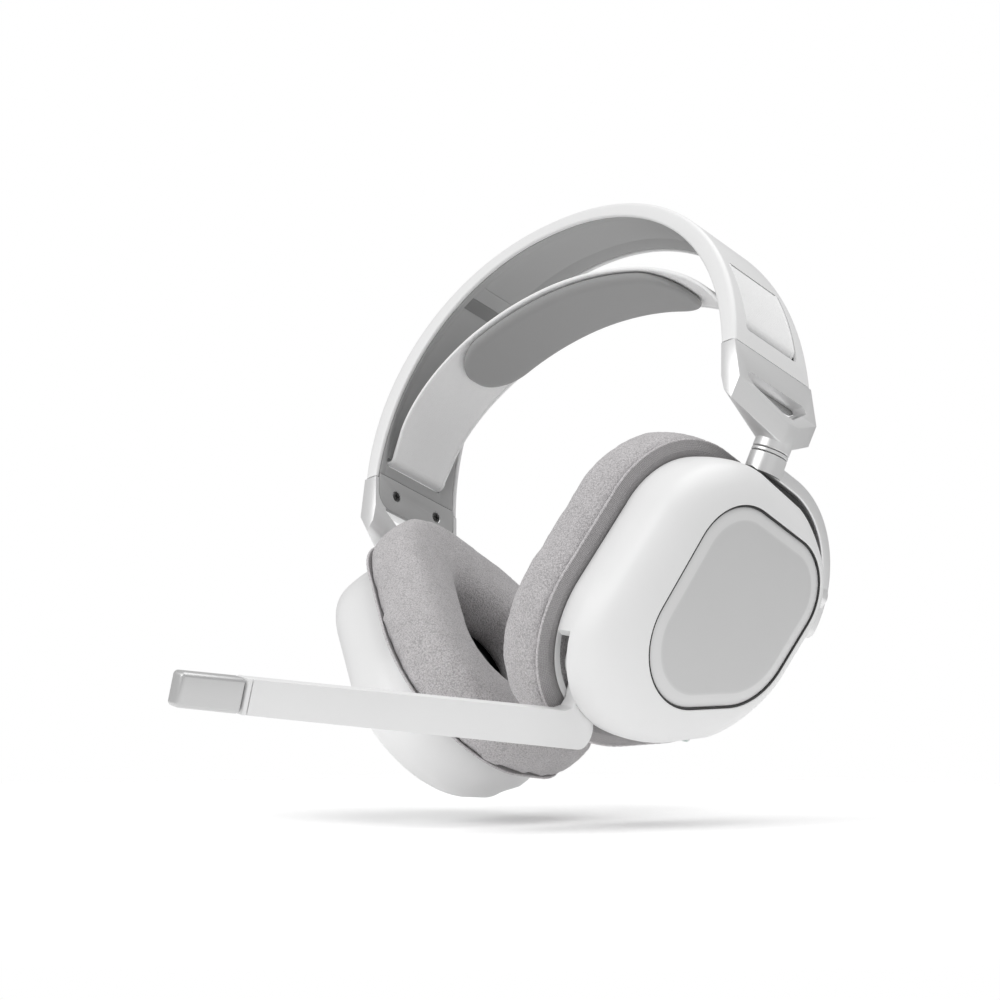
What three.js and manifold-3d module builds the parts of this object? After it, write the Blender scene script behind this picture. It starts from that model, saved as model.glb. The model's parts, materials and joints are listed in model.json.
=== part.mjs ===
// Over-ear wireless gaming headset: sprung headband, floating strap, two swivelling cups and a flip-up
// microphone boom. Millimetres. +X is the wearer's left, -Y the front, +Z up. The origin is where the
// strap pad rests on the head.
import * as THREE from "three";
import { ConvexGeometry } from "three/addons/geometries/ConvexGeometry.js";
import { mergeVertices } from "three/addons/utils/BufferGeometryUtils.js";
import Module from "manifold-3d";

const wasm = await Module();
wasm.setup();

// ---- Driving dimensions ----
const gap = 0.3; // between parts that touch
const runningGap = 0.35; // between parts that turn past each other

// Headband: an arch with its ends at z = 0 of the band's own frame
const archHalfSpan = 78;
const archHeight = 78.4;
const archPower = 2.1;
const bandWidthEnd = 42.6;
const bandWidthTop = 28.4;
const bandSkin = 1.2;
const rimWall = 1.7;
const rimDepthEnd = 5.1;
const rimDepthTop = 4.9;
const rimSwell = 1.2; // extra depth half way up the arch
const bandChamfer = 1.1;
const bandSteps = 32;

const springHalfWidth = 6;
const springThickness = 0.4;
const linerFloor = 0.9; // thickness of the liner's flat
const linerBevel = 4.4;
const linerSeam = 2; // height of the joint between liner and end cap
const cableDiameter = 1.1;

// Floating strap
const strapInset = 6; // the strap's ends sit this far inside the arch
const strapDrop = 27.9; // from the arch's top to the strap's underside
const strapBase = 4.5;
const strapHalfSpan = archHalfSpan - strapInset;
const strapRise = archHeight - strapDrop - strapBase;
const strapPower = 1.93;
const strapWidth = 31;
const strapEndWidth = 27;
const strapThickness = 1.3;
const slotBottom = 6.4;
const strapSlotTop = 10.7;
const tabTop = 34;
const padLength = 94;
const padWidth = 28;
const padThickness = 3.2;

// Links between band and cups
const linkDepth = 14;
const linkFlare = 1.4;
const linkToe = linkDepth + 6.3; // lowest corner of the link's side faces
const capDepth = linkDepth - 3.4;
const capThickness = 1.5;
const capRadius = 10;
const capScrewRadius = 1.8;
const screwRadius = 0.9;
const screwHead = 0.6;
const screwReach = 2.2;
const capScrewDrop = 4;
const capScrewSpread = 10.4;
const windowTop = 10;
const windowHalfWidth = 14.5;
const windowFoot = 2.5;
const windowFlare = 2;
const windowBottom = linkDepth + 7;

// Swivel barrels
const swivelInset = 2.7;
const swivelDrop = 17.2; // from the link's depth down to the ring
const swivelX = archHalfSpan - swivelInset;
const swivelZ = -linkDepth - swivelDrop;
const cupLean = 27.2; // degrees that the cups lean out at their top
const barrelRadius = 6;
const barrelTop = 10;
const collarThickness = 1;
const swivelPinRadius = 2.25;
const swivelPinUp = 6;
const swivelPinDown = 3.6;
const leftToe = -1.6;
const rightToe = -4.7;

// Ear cup, seen from outside: w points out, u to the rear, v up
const barrelW = 6.9;
const barrelU = 2.8;
const ringHeight = 54.7;
const cupCorners = [
  { u: -26.2, v: 35, r: 20.2 },
  { u: -41.1, v: -41.8, r: 20.4 },
  { u: 20.2, v: -20, r: 26.1 },
  { u: 33.9, v: 29.9, r: 17.3 },
];
const cornerSteps = 6;
const cupDepth = 24; // from the cushion joint to the outer panel
const shoulderDepth = cupDepth - 10.3;
const shoulderOffset = 12.6;
const wallDraft = 0.9; // the wall leans in by this much towards the cushion
const panelGroove = 0.6; // width of the groove round the panel
const cupWall = 2;
const panelThickness = 2.1;
const panelBevel = 4.5;
const baffleThickness = 1.6;

const cushionDepth = 17.1;
const cushionOffset = shoulderOffset + 5.3;
const earOpening = -9.3; // offset of the cushion's inner wall

const driverU = -3;
const driverV = 3;
const driverRadius = 25;
const magnetRadius = 11;
const driverDepth = 12.4;
const mouthLip = 1.5; // of the baffle in front of the driver

// Yoke and tilt pivot
const yokeClearance = 2.4;
const yokeThickness = 4.5;
const yokeInner = shoulderOffset + yokeClearance;
const yokeOuter = yokeInner + yokeThickness;
const yokeWidth = 7;
const yokeTail = 15; // how far the hoop runs on below the tilt pin
const tiltW = 8;
const tiltV = 22;
const tiltPinRadius = 2.2;
const yokeBossRadius = 5;

// Microphone boom, hinged in the left cup
const boomU = -36;
const boomV = -28.6;
const boomDroop = 13.4; // degrees below level
const boomInner = 0.5;
const boomThickness = 5.3;
const boomDrop = 20.7; // from the hinge to the arm's middle line
const boomReach = 145.5;
const boomTail = 8.5;
const boomRootHeight = 11.4;
const boomTipHeight = 9.6;
const boomHubRadius = 6.3;
const boomNeck = 6;
const boomPinRadius = 2;
const boomScrewRadius = 2.8;
const boomFlip = 95;
const micTipLength = 22;
const micCollarLength = 1.8;

// Controls in the left cup, placed along the lower edge of the outline
const usbAlong = 40.6;
const buttonAlong = 49.4;
const controlW = 8.5;
const usbWidth = 8.9;
const usbHeight = 3.3;
const usbDepth = 7;
const buttonLength = 5;
const buttonWidth = 3;
const buttonProud = 0.9;
const wheelRadius = 8;
const wheelThickness = 4;
const wheelProud = 1.5;
const wheelV = 1;

const axleRadius = 1.2;
const lightRadius = 1;
const lightRise = 5.2; // from the controls' line out to the light

const batteryLength = 34;
const batteryHeight = 22;
const boardThickness = 1.2;

// ---- Materials ----
function paint(color, roughness, metalness = 0) {
  return new THREE.MeshStandardMaterial({ color, roughness, metalness });
}
const whiteShell = paint(0xf1f1f0, 0.42);
const greyPanel = paint(0xc4c5c5, 0.5);
const silver = paint(0xd2d3d3, 0.32, 0.6);
const steel = paint(0xb9bbbd, 0.28, 1);
const linerGrey = paint(0x8e9193, 0.6);
const padGrey = paint(0x929494, 0.85);
const strapCloth = paint(0xd0d0cf, 0.9);
const cushionKnit = paint(0xaaa7a6, 0.95);
const screenCloth = paint(0x3d3e40, 0.9);
const darkPlastic = paint(0x2c2d2f, 0.6);
const boardGreen = paint(0x2f5d46, 0.5);
const film = paint(0xb7b9b6, 0.4);
const tipGrey = paint(0xa9abac, 0.38, 0.4);
const rubberBlack = paint(0x202123, 0.8);
const lightClear = paint(0xe8f2ee, 0.2);

// ---- Solids ----
const radians = THREE.MathUtils.degToRad;

function solid(geometry) {
  const bare = geometry.index ? geometry.toNonIndexed() : geometry.clone();
  bare.deleteAttribute("normal");
  bare.deleteAttribute("uv");
  const merged = mergeVertices(bare, 1e-4);
  const vertProperties = merged.attributes.position.array;
  const triVerts = new Uint32Array(merged.index.array);
  return new wasm.Manifold(new wasm.Mesh({ numProp: 3, vertProperties, triVerts }));
}

function join(first, ...others) {
  return others.reduce((sum, other) => sum.add(other), first);
}

function cut(first, ...others) {
  return others.reduce((rest, other) => rest.subtract(other), first);
}

function meshOf(name, shape, material) {
  const { vertProperties, triVerts } = shape.getMesh();
  const geometry = new THREE.BufferGeometry();
  geometry.setAttribute("position", new THREE.BufferAttribute(vertProperties, 3));
  geometry.setIndex(new THREE.BufferAttribute(triVerts, 1));
  geometry.computeVertexNormals();
  const mesh = new THREE.Mesh(geometry, material);
  mesh.name = name;
  return mesh;
}

// An outline pushed along one axis. Its points are (y, z) along x, (x, z) along y and (x, y) along z.
const bases = {
  x: [[0, 1, 0], [0, 0, 1], [1, 0, 0]],
  y: [[1, 0, 0], [0, 0, 1], [0, -1, 0]],
  z: [[1, 0, 0], [0, 1, 0], [0, 0, 1]],
};

function prism(points, from, to, axis) {
  const [across, up, along] = bases[axis].map((v) => new THREE.Vector3(...v));
  const shape = new THREE.Shape(points.map(([a, b]) => new THREE.Vector2(a, b)));
  const geometry = new THREE.ExtrudeGeometry(shape, { depth: to - from, bevelEnabled: false });
  geometry.applyMatrix4(new THREE.Matrix4().makeBasis(across, up, along));
  const start = axis === "y" ? -to * along.y : from;
  geometry.translate(axis === "x" ? start : 0, axis === "y" ? start : 0, axis === "z" ? start : 0);
  return solid(geometry);
}

function box(size, centre) {
  return solid(new THREE.BoxGeometry(...size).translate(...centre));
}

// A cylinder between two values along an axis, through the given point of the other two coordinates
function rod(radius, from, to, axis, [a, b], sides = 24) {
  const geometry = new THREE.CylinderGeometry(radius, radius, to - from, sides);
  const middle = (from + to) / 2;
  if (axis === "x") geometry.rotateZ(Math.PI / 2).translate(middle, a, b);
  if (axis === "y") geometry.translate(a, middle, b);
  if (axis === "z") geometry.rotateX(Math.PI / 2).translate(a, b, middle);
  return solid(geometry);
}

// A turned part about an axis along x: the profile lists [radius, x] and closes on the axis or on itself
function turned(profile, [y, z], sides = 24) {
  const points = profile.map(([radius, x]) => new THREE.Vector2(radius, x));
  const geometry = new THREE.LatheGeometry(points, sides);
  return facingOut(geometry.rotateZ(-Math.PI / 2).translate(0, y, z));
}

// Turns the faces round when they point inwards
function facingOut(geometry) {
  const merged = mergeVertices(geometry.deleteAttribute("normal").deleteAttribute("uv"), 1e-4);
  const { position } = merged.attributes;
  const [a, b, c] = [0, 1, 2].map(() => new THREE.Vector3());
  const index = [...merged.index.array];
  let volume = 0;
  const faces = [];
  for (let i = 0; i < index.length; i += 3) {
    const [p, q, r] = index.slice(i, i + 3);
    if (p === q || q === r || r === p) continue;
    faces.push([p, q, r]);
    a.fromBufferAttribute(position, p);
    b.fromBufferAttribute(position, q);
    c.fromBufferAttribute(position, r);
    volume += a.dot(b.cross(c));
  }
  merged.setIndex(faces.flatMap(([p, q, r]) => (volume < 0 ? [p, r, q] : [p, q, r])));
  return solid(merged);
}

// A skin over rings of equal point count, closed by end caps or, as a loop, back on its first ring
function skinned(rings, closed = false) {
  const count = rings[0].length;
  const faces = [];
  const last = closed ? rings.length : rings.length - 1;
  for (let k = 0; k < last; k++) {
    const here = k * count;
    const next = ((k + 1) % rings.length) * count;
    for (let i = 0; i < count; i++) {
      const j = (i + 1) % count;
      faces.push(here + i, here + j, next + j, here + i, next + j, next + i);
    }
  }
  if (!closed) {
    for (const [ring, start, turn] of [[rings[0], 0, true], [rings.at(-1), last * count, false]]) {
      for (const [p, q, r] of THREE.ShapeUtils.triangulateShape(flattened(ring), [])) {
        faces.push(...(turn ? [r, q, p] : [p, q, r]).map((i) => start + i));
      }
    }
  }
  const geometry = new THREE.BufferGeometry();
  geometry.setAttribute("position", new THREE.Float32BufferAttribute(rings.flat(2), 3));
  geometry.setIndex(faces);
  return facingOut(geometry);
}

// A flat ring of 3-D points as 2-D points of its own plane
function flattened(ring) {
  const points = ring.map((p) => new THREE.Vector3(...p));
  const normal = new THREE.Vector3();
  points.forEach((p, i) => normal.add(p.clone().cross(points[(i + 1) % points.length])));
  normal.normalize();
  const across = points[1].clone().sub(points[0]).normalize();
  const up = normal.clone().cross(across);
  return points.map((p) => new THREE.Vector2(p.dot(across), p.dot(up)));
}

// ---- Headband arch ----
function bandHalfWidth(z) {
  return (bandWidthEnd + (bandWidthTop - bandWidthEnd) * Math.max(0, z / archHeight)) / 2;
}

function rimDepth(z) {
  const t = z / archHeight;
  return rimDepthEnd + (rimDepthTop - rimDepthEnd) * t + 4 * rimSwell * t * (1 - t);
}

function archAngle(z) {
  return Math.asin((z / archHeight) ** (archPower / 2));
}

// Outer point and outward direction of the arch at an angle from its left end
function archStation(angle) {
  const c = Math.cos(angle);
  const s = Math.max(0, Math.sin(angle));
  const x = archHalfSpan * Math.sign(c) * Math.abs(c) ** (2 / archPower);
  const z = archHeight * s ** (2 / archPower);
  const slope = new THREE.Vector2(
    (Math.sign(x) * Math.abs(x) ** (archPower - 1)) / archHalfSpan ** archPower,
    z ** (archPower - 1) / archHeight ** archPower,
  ).normalize();
  return { x, z, out: slope };
}

// A part that follows the arch: its section lists [y, depth below the outer face]
function bandSweep(section, from = 0, to = Math.PI, steps = bandSteps) {
  const rings = [];
  for (let k = 0; k <= steps; k++) {
    const { x, z, out } = archStation(from + ((to - from) * k) / steps);
    rings.push(section(z).map(([y, depth]) => [x - out.x * depth, y, z - out.y * depth]));
  }
  return skinned(rings);
}

function mirroredOutline(half) {
  return [...half, ...half.map(([y, depth]) => [-y, depth]).reverse()];
}

const sideReach = 30; // how far a cut in the arch's side runs inwards
const linerBack = bandSkin + springThickness + 2 * gap - 0.1;
const linerFront = linerBack + linerFloor;
const slotHalfWidth = strapEndWidth / 2 + 0.5;
const tabWindowTop = tabTop + 1;

function linerEdge(z) {
  return bandHalfWidth(z) - rimWall - gap;
}

function sideCuts(width, from, to, depth) {
  const middle = archHalfSpan - depth / 2 + rimDepthEnd;
  return [1, -1].map((side) => box([depth, width, to - from], [side * middle, 0, (from + to) / 2]));
}

// Cuts off what lies below a height at the arch's two ends
function endTrim(height) {
  const below = 4;
  return box([4 * archHalfSpan, 2 * bandWidthEnd, below], [0, 0, height - below / 2]);
}

function bandShell() {
  const channel = bandSweep((z) => {
    const edge = bandHalfWidth(z);
    const wall = edge - rimWall;
    const rim = rimDepth(z);
    return mirroredOutline([
      [edge - bandChamfer, 0],
      [edge, bandChamfer],
      [edge, rim],
      [wall, rim],
      [wall, bandSkin],
    ]);
  });
  const windows = sideCuts(2 * slotHalfWidth, slotBottom, tabWindowTop, sideReach);
  return cut(channel, ...windows, endTrim(gap / 2));
}

function bandSpring() {
  const start = archAngle(tabWindowTop + 1.5);
  const top = bandSkin + gap;
  return bandSweep(
    () => mirroredOutline([[springHalfWidth, top], [springHalfWidth, top + springThickness]]),
    start,
    Math.PI - start,
  );
}

function bandLiner() {
  const channelBack = bandSkin + cableDiameter + 0.5;
  const tray = bandSweep((z) => {
    const edge = linerEdge(z);
    return mirroredOutline([
      [edge - linerBevel, linerBack],
      [edge - linerBevel + linerFloor, channelBack],
      [edge, channelBack],
      [edge, rimDepth(z)],
      [edge - linerBevel, linerFront],
    ]);
  });
  const slots = sideCuts(2 * slotHalfWidth, slotBottom, strapSlotTop, sideReach);
  return cut(tray, ...slots, endTrim(linerSeam));
}

function crossoverCable() {
  const radius = cableDiameter / 2;
  const start = archAngle(1.5);
  const section = (z) => {
    const y = linerEdge(z) - 1.9;
    const depth = bandSkin + gap + radius;
    return Array.from({ length: 8 }, (_, i) => {
      const turn = (i * Math.PI) / 4;
      return [y + radius * Math.cos(turn), depth + radius * Math.sin(turn)];
    });
  };
  return bandSweep(section, start, Math.PI - start);
}

function hookPatch() {
  const top = strapThickness + gap / 2;
  const bottom = linerBack - gap / 2;
  const halfWidth = strapEndWidth / 2 - 1.5;
  const section = () => mirroredOutline([[halfWidth, top], [halfWidth, bottom]]);
  return bandSweep(section, archAngle(strapSlotTop + 3), archAngle(tabTop - 2), 6);
}

// ---- Strap ----
function strapUnderside(x) {
  const share = Math.max(0, 1 - Math.abs(x / strapHalfSpan) ** strapPower);
  return strapBase + strapRise * share ** (1 / strapPower);
}

// Half of the strap's middle line, from the top of the tab round the slot to the middle of the head
function strapHalfPath() {
  const path = [];
  const half = strapThickness / 2;
  const tabSteps = 5;
  const tabFoot = strapSlotTop;
  for (let k = 0; k <= tabSteps; k++) {
    const height = tabTop + ((tabFoot - tabTop) * k) / tabSteps;
    const { x, z, out } = archStation(archAngle(height));
    path.push([x - out.x * half, z - out.y * half]);
  }
  const outerX = path.at(-1)[0];
  const innerX = strapHalfSpan + 0.05;
  const turnRadius = (outerX - innerX) / 2;
  for (let k = 1; k <= 6; k++) {
    const turn = (k * Math.PI) / 6;
    path.push([innerX + turnRadius * (1 + Math.cos(turn)), tabFoot - turnRadius * Math.sin(turn)]);
  }
  const spanSteps = 14;
  for (let k = 1; k <= spanSteps; k++) {
    const turn = 0.3 + ((Math.PI / 2 - 0.3) * k) / spanSteps;
    const x = strapHalfSpan * Math.cos(turn) ** (2 / strapPower);
    const z = strapBase + strapRise * Math.sin(turn) ** (2 / strapPower);
    path.push([x, z + half]);
  }
  return path;
}

function strapRibbon() {
  const right = strapHalfPath();
  const left = right.slice(0, -1).map(([x, z]) => [-x, z]);
  const path = [...right, ...left.reverse()];
  const rings = path.map(([x, z], i) => {
    const [x0, z0] = path[Math.max(0, i - 1)];
    const [x1, z1] = path[Math.min(path.length - 1, i + 1)];
    const across = new THREE.Vector2(z1 - z0, x0 - x1).normalize().multiplyScalar(strapThickness / 2);
    const share = Math.min(1, Math.max(0, (z - strapSlotTop) / (strapRise - strapSlotTop)));
    const onTab = Math.abs(x) > strapHalfSpan - 1 || i < 6 || i > path.length - 7;
    const width = onTab ? strapEndWidth : strapEndWidth + (strapWidth - strapEndWidth) * share;
    const y = width / 2;
    const corners = [[1, y], [1, -y], [-1, -y], [-1, y]];
    return corners.map(([side, edge]) => [x + side * across.x, edge, z + side * across.y]);
  });
  return skinned(rings);
}

function strapPad() {
  const steps = 24;
  const reach = padLength / 2;
  const rings = [];
  for (let k = 0; k <= steps; k++) {
    const x = -reach + (padLength * k) / steps;
    const top = strapUnderside(x) - gap;
    const half = padWidth / 2;
    const crown = [[half, 0], [half, 0.4], [half - 3, 1], [-(half - 3), 1], [-half, 0.4], [-half, 0]];
    rings.push(crown.map(([y, share]) => [x, y, top - padThickness * share]));
  }
  const corner = padWidth / 2;
  const stadium = roundedOutline(
    [
      { u: -reach, v: -corner, r: corner },
      { u: reach, v: -corner, r: corner },
      { u: reach, v: corner, r: corner },
      { u: -reach, v: corner, r: corner },
    ],
    -0.05,
  );
  return skinned(rings).intersect(prism(stadium, 0, 2 * archHeight, "z"));
}

// ---- Links ----
const lean = radians(cupLean);

function alongSwivel(v) {
  return [swivelX + v * Math.sin(lean), swivelZ + v * Math.cos(lean)];
}

// A cylinder on the left swivel axis between two heights above the ring
function swivelRod(radius, from, to) {
  const geometry = new THREE.CylinderGeometry(radius, radius, to - from, 24);
  geometry.rotateX(Math.PI / 2).rotateY(lean);
  const [x, z] = alongSwivel((from + to) / 2);
  return solid(geometry.translate(x, 0, z));
}

const linkHalfWidth = bandWidthEnd / 2 - 0.1;
const linkInnerX = archHalfSpan - rimDepthEnd;
const capInnerX = linkInnerX - 0.2;
const capPocketX = capInnerX + capThickness + gap;

function capOutline(grow) {
  const edge = linerEdge(0) + grow;
  const top = linerSeam - gap;
  return roundedOutline(
    [
      { u: -edge, v: top, r: 0.5 },
      { u: -edge, v: -capDepth - grow, r: capRadius },
      { u: edge, v: -capDepth - grow, r: capRadius },
      { u: edge, v: top, r: 0.5 },
    ],
    0,
    4,
  );
}

function link() {
  const side = [
    [linkInnerX, -gap / 2],
    [archHalfSpan, -gap / 2],
    [archHalfSpan + linkFlare, -linkDepth],
    [archHalfSpan - 2, -linkToe],
    [linkInnerX + 0.5, -linkDepth - 2.7],
    [linkInnerX - 0.4, -linkDepth + 2.3],
  ];
  const block = prism(side, -linkHalfWidth, linkHalfWidth, "y");
  const bowPoints = [];
  for (const y of [-linkHalfWidth, linkHalfWidth]) {
    for (const [x, z] of side.slice(2)) bowPoints.push(new THREE.Vector3(x, y, z));
  }
  for (const v of [collarThickness / 2 + runningGap, barrelTop]) {
    const [x, z] = alongSwivel(v);
    for (let k = 0; k < 24; k++) {
      const turn = (k * Math.PI) / 12;
      const w = barrelRadius * Math.cos(turn);
      const u = barrelRadius * Math.sin(turn);
      bowPoints.push(new THREE.Vector3(x + w * Math.cos(lean), u, z - w * Math.sin(lean)));
    }
  }
  const bow = solid(new ConvexGeometry(bowPoints));
  const window = [
    [-windowHalfWidth, -windowTop],
    [-windowHalfWidth - windowFlare, -windowTop - windowFlare],
    [-windowFoot, -windowBottom],
    [windowFoot, -windowBottom],
    [windowHalfWidth + windowFlare, -windowTop - windowFlare],
    [windowHalfWidth, -windowTop],
  ];
  const screws = capScrewPlaces().map((place) =>
    rod(screwRadius + gap, capPocketX - 2, capPocketX + screwReach + gap, "x", place, 12),
  );
  return cut(
    join(block, bow),
    prism(window, archHalfSpan - 30, archHalfSpan + 20, "x"),
    prism(capOutline(gap), capPocketX - 10, capPocketX, "x"),
    swivelRod(swivelPinRadius + gap, -2, swivelPinUp + gap),
    ...screws,
  );
}

function capScrewPlaces() {
  return [-capScrewSpread, capScrewSpread].map((y) => [y, -capScrewDrop]);
}

function linerCap() {
  const plate = prism(capOutline(0), capInnerX, capInnerX + capThickness, "x");
  const holes = capScrewPlaces().flatMap((place) => [
    rod(screwRadius + gap, capInnerX - 1, capInnerX + 3, "x", place, 12),
    rod(capScrewRadius + gap, capInnerX - 1, capInnerX + screwHead + gap, "x", place),
  ]);
  return cut(plate, ...holes);
}

function capScrew(place) {
  const head = rod(capScrewRadius, capInnerX + 0.1, capInnerX + screwHead, "x", place, 16);
  const shank = rod(screwRadius, capInnerX + screwHead - 0.1, capPocketX + screwReach, "x", place, 12);
  const recess = [box([0.8, 2.2, 0.5], [capInnerX, ...place]), box([0.8, 0.5, 2.2], [capInnerX, ...place])];
  return cut(join(head, shank), ...recess);
}

function swivelCollar() {
  const half = collarThickness / 2;
  return cut(swivelRod(barrelRadius - gap / 2, -half, half), swivelRod(swivelPinRadius + gap, -2, 2));
}

// ---- Ear cup outlines ----
// A polygon with rounded corners, grown by an offset; counter-clockwise, as [u, v]
function roundedOutline(corners, offset, steps = cornerSteps) {
  const at = corners.map(({ u, v }) => new THREE.Vector2(u, v));
  return corners.flatMap(({ r }, i) => {
    const before = at[(i + at.length - 1) % at.length].clone().sub(at[i]).normalize();
    const after = at[(i + 1) % at.length].clone().sub(at[i]).normalize();
    const half = Math.acos(before.dot(after)) / 2;
    const centre = before.clone().add(after).normalize().multiplyScalar(r / Math.sin(half)).add(at[i]);
    const start = Math.atan2(before.x, -before.y);
    const sweep = Math.PI - 2 * half;
    return Array.from({ length: steps + 1 }, (_, k) => {
      const turn = start + (sweep * k) / steps;
      return [centre.x + (r + offset) * Math.cos(turn), centre.y + (r + offset) * Math.sin(turn)];
    });
  });
}

function cupOutline(offset) {
  return roundedOutline(cupCorners, offset);
}

// A cup-shaped skin over rings of [w, offset]
function cupLoft(rings, closed = false) {
  return skinned(rings.map(([w, offset]) => cupOutline(offset).map(([u, v]) => [w, u, v])), closed);
}

function cupPrism(offset, from, to) {
  return cupLoft([[from, offset], [to, offset]]);
}

// The frame of a point on the outline's lower edge: its place, and the way out of the cup
function lowerEdge(along, offset) {
  const [, from, to] = cupCorners.map(({ u, v }) => new THREE.Vector2(u, v));
  const run = to.clone().sub(from).normalize();
  const out = new THREE.Vector2(run.y, -run.x);
  const place = from.clone().addScaledVector(run, along).addScaledVector(out, offset);
  return { place, out, turn: Math.atan2(run.y, run.x) };
}

// A block on the lower edge: its size runs [w, along the edge, inwards], from an offset inwards
function edgeBlock([w, length, depth], along, offset, rounded = 0) {
  const { place, turn } = lowerEdge(along, offset);
  const outline = [
    { u: -length / 2, v: -w / 2, r: rounded },
    { u: length / 2, v: -w / 2, r: rounded },
    { u: length / 2, v: w / 2, r: rounded },
    { u: -length / 2, v: w / 2, r: rounded },
  ];
  const shape = new THREE.Shape(roundedOutline(outline, 0, 4).map(([a, b]) => new THREE.Vector2(a, b)));
  const geometry = new THREE.ExtrudeGeometry(shape, { depth, bevelEnabled: false });
  // shape x runs along the edge, shape y along w, and the depth runs into the cup
  geometry.applyMatrix4(
    new THREE.Matrix4().makeBasis(
      new THREE.Vector3(0, Math.cos(turn), Math.sin(turn)),
      new THREE.Vector3(-1, 0, 0),
      new THREE.Vector3(0, -Math.sin(turn), Math.cos(turn)),
    ),
  );
  return solid(geometry.translate(controlW, place.x, place.y));
}

// ---- Ear cup parts ----
const wheelWall = rearWall(wheelV);
const wheelU = wheelWall + wheelProud - wheelRadius;

// u of the cup's outer wall on its rear edge at a height v
function rearWall(v) {
  const points = cupOutline(shoulderOffset);
  const crossings = points.flatMap(([u0, v0], i) => {
    const [u1, v1] = points[(i + 1) % points.length];
    return (v0 - v) * (v1 - v) <= 0 && v0 !== v1 ? [u0 + ((u1 - u0) * (v - v0)) / (v1 - v0)] : [];
  });
  return Math.max(...crossings);
}

function boomDirection(turned = 0) {
  const angle = radians(180 + boomDroop - turned);
  return new THREE.Vector2(Math.cos(angle), Math.sin(angle));
}

// A point of the boom: distance forward along the arm and up from the hinge
function boomPoint(forward, up) {
  const ahead = boomDirection();
  const above = new THREE.Vector2(ahead.y, -ahead.x);
  return [boomU + ahead.x * forward + above.x * up, boomV + ahead.y * forward + above.y * up];
}

// The space that the boom's foot sweeps through the cup's wall
function boomSlot() {
  const reach = boomDrop + boomRootHeight;
  const neckSwing = THREE.MathUtils.radToDeg(Math.asin(boomNeck / 2 / boomHubRadius)) + 2;
  const first = 180 + boomDroop + 90 + neckSwing;
  const last = 180 + boomDroop + 90 - boomFlip - neckSwing;
  const fan = [[boomU, boomV]];
  for (let k = 0; k <= 10; k++) {
    const turn = radians(last + ((first - last) * k) / 10);
    fan.push([boomU + reach * Math.cos(turn), boomV + reach * Math.sin(turn)]);
  }
  const from = boomInner - runningGap;
  const to = boomInner + boomThickness + runningGap;
  return join(prism(fan, from, to, "x"), rod(boomHubRadius + 0.5, from, to, "x", [boomU, boomV], 32));
}

function housing(isLeft) {
  const seat = cupDepth - panelThickness - gap;
  const shell = cupLoft([
    [-0.2, shoulderOffset - wallDraft],
    [3, shoulderOffset - wallDraft / 2],
    [8, shoulderOffset],
    [shoulderDepth, shoulderOffset],
    [cupDepth - 6.6, shoulderOffset - 1.4],
    [cupDepth - 3.6, shoulderOffset - 4.3],
    [cupDepth - 1.4, shoulderOffset - 8],
    [cupDepth, panelGroove],
  ]);
  const cavity = cupLoft([
    [-1, shoulderOffset - wallDraft - cupWall],
    [8, shoulderOffset - cupWall],
    [shoulderDepth, shoulderOffset - cupWall],
    [cupDepth - 7.1, shoulderOffset - 1.4 - cupWall],
    [cupDepth - 4.8, shoulderOffset - 4.3 - cupWall],
    [seat - 1, shoulderOffset - 7.2 - cupWall],
  ]);
  const recess = cupPrism(gap, seat, cupDepth + 2);
  const window = cupPrism(-2.6, seat - 3, seat + 1);
  const pinWall = rearWall(tiltV);
  const tiltBore = rod(tiltPinRadius + gap, pinWall - 8, pinWall + 3, "y", [tiltW, tiltV]);
  let shape = cut(shell, cavity, recess, window, tiltBore);
  if (isLeft) {
    const bossFrom = boomInner + boomThickness + 0.2;
    const boomBoss = rod(4.5, bossFrom, bossFrom + 5.8, "x", [boomU, boomV]);
    const wheelRib = box([1.4, 12, 6], [controlW - wheelThickness / 2 - 1.2, wheelWall - 7.4, wheelV]);
    const wheelFrom = controlW - wheelThickness / 2 - gap;
    const wheelTo = controlW + wheelThickness / 2 + gap;
    const axleReach = box([12, 40, 20], [6, wheelU, wheelV]);
    shape = cut(
      join(shape, boomBoss.intersect(shell), wheelRib.intersect(shell)),
      boomSlot(),
      boomBore(),
      boomHeadRelief(),
      rod(wheelRadius + gap, wheelFrom, wheelTo, "x", [wheelU, wheelV], 40),
      rod(axleRadius + gap, 0, 30, "x", [wheelU, wheelV]).intersect(axleReach),
      edgeBlock([usbHeight + 2 * gap, usbWidth + 2 * gap, usbDepth + 2], usbAlong, shoulderOffset + 1, 1.5),
      edgeBlock([buttonWidth + 2 * gap, buttonLength + 2 * gap, 6], buttonAlong, shoulderOffset + 2, 1.5),
      lightPipe(lightRadius + gap, 1),
    );
  }
  return shape;
}

function boomBore() {
  return rod(boomPinRadius + gap, -1, boomInner + boomThickness + 5, "x", [boomU, boomV]);
}

function boomHeadRelief() {
  return rod(boomScrewRadius + gap, -1, boomInner, "x", [boomU, boomV]);
}

// The light pipe between port and button: it runs straight in from a height above the wall
function lightPipe(radius, proud) {
  const { place, turn } = lowerEdge((usbAlong + buttonAlong) / 2, shoulderOffset + proud);
  const length = proud + cupWall + 1.5;
  const geometry = new THREE.CylinderGeometry(radius, radius, length, 16).translate(0, length / 2, 0);
  geometry.rotateX(turn + Math.PI / 2);
  return solid(geometry.translate(controlW + lightRise, place.x, place.y));
}

function panel() {
  const edge = -0.05; // just inside the groove
  const back = cupDepth - panelThickness;
  return cupLoft([
    [back, edge],
    [cupDepth - 0.7, edge],
    [cupDepth + 0.1, edge - 0.8],
    [cupDepth + 0.2, edge - panelBevel],
  ]);
}

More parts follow.
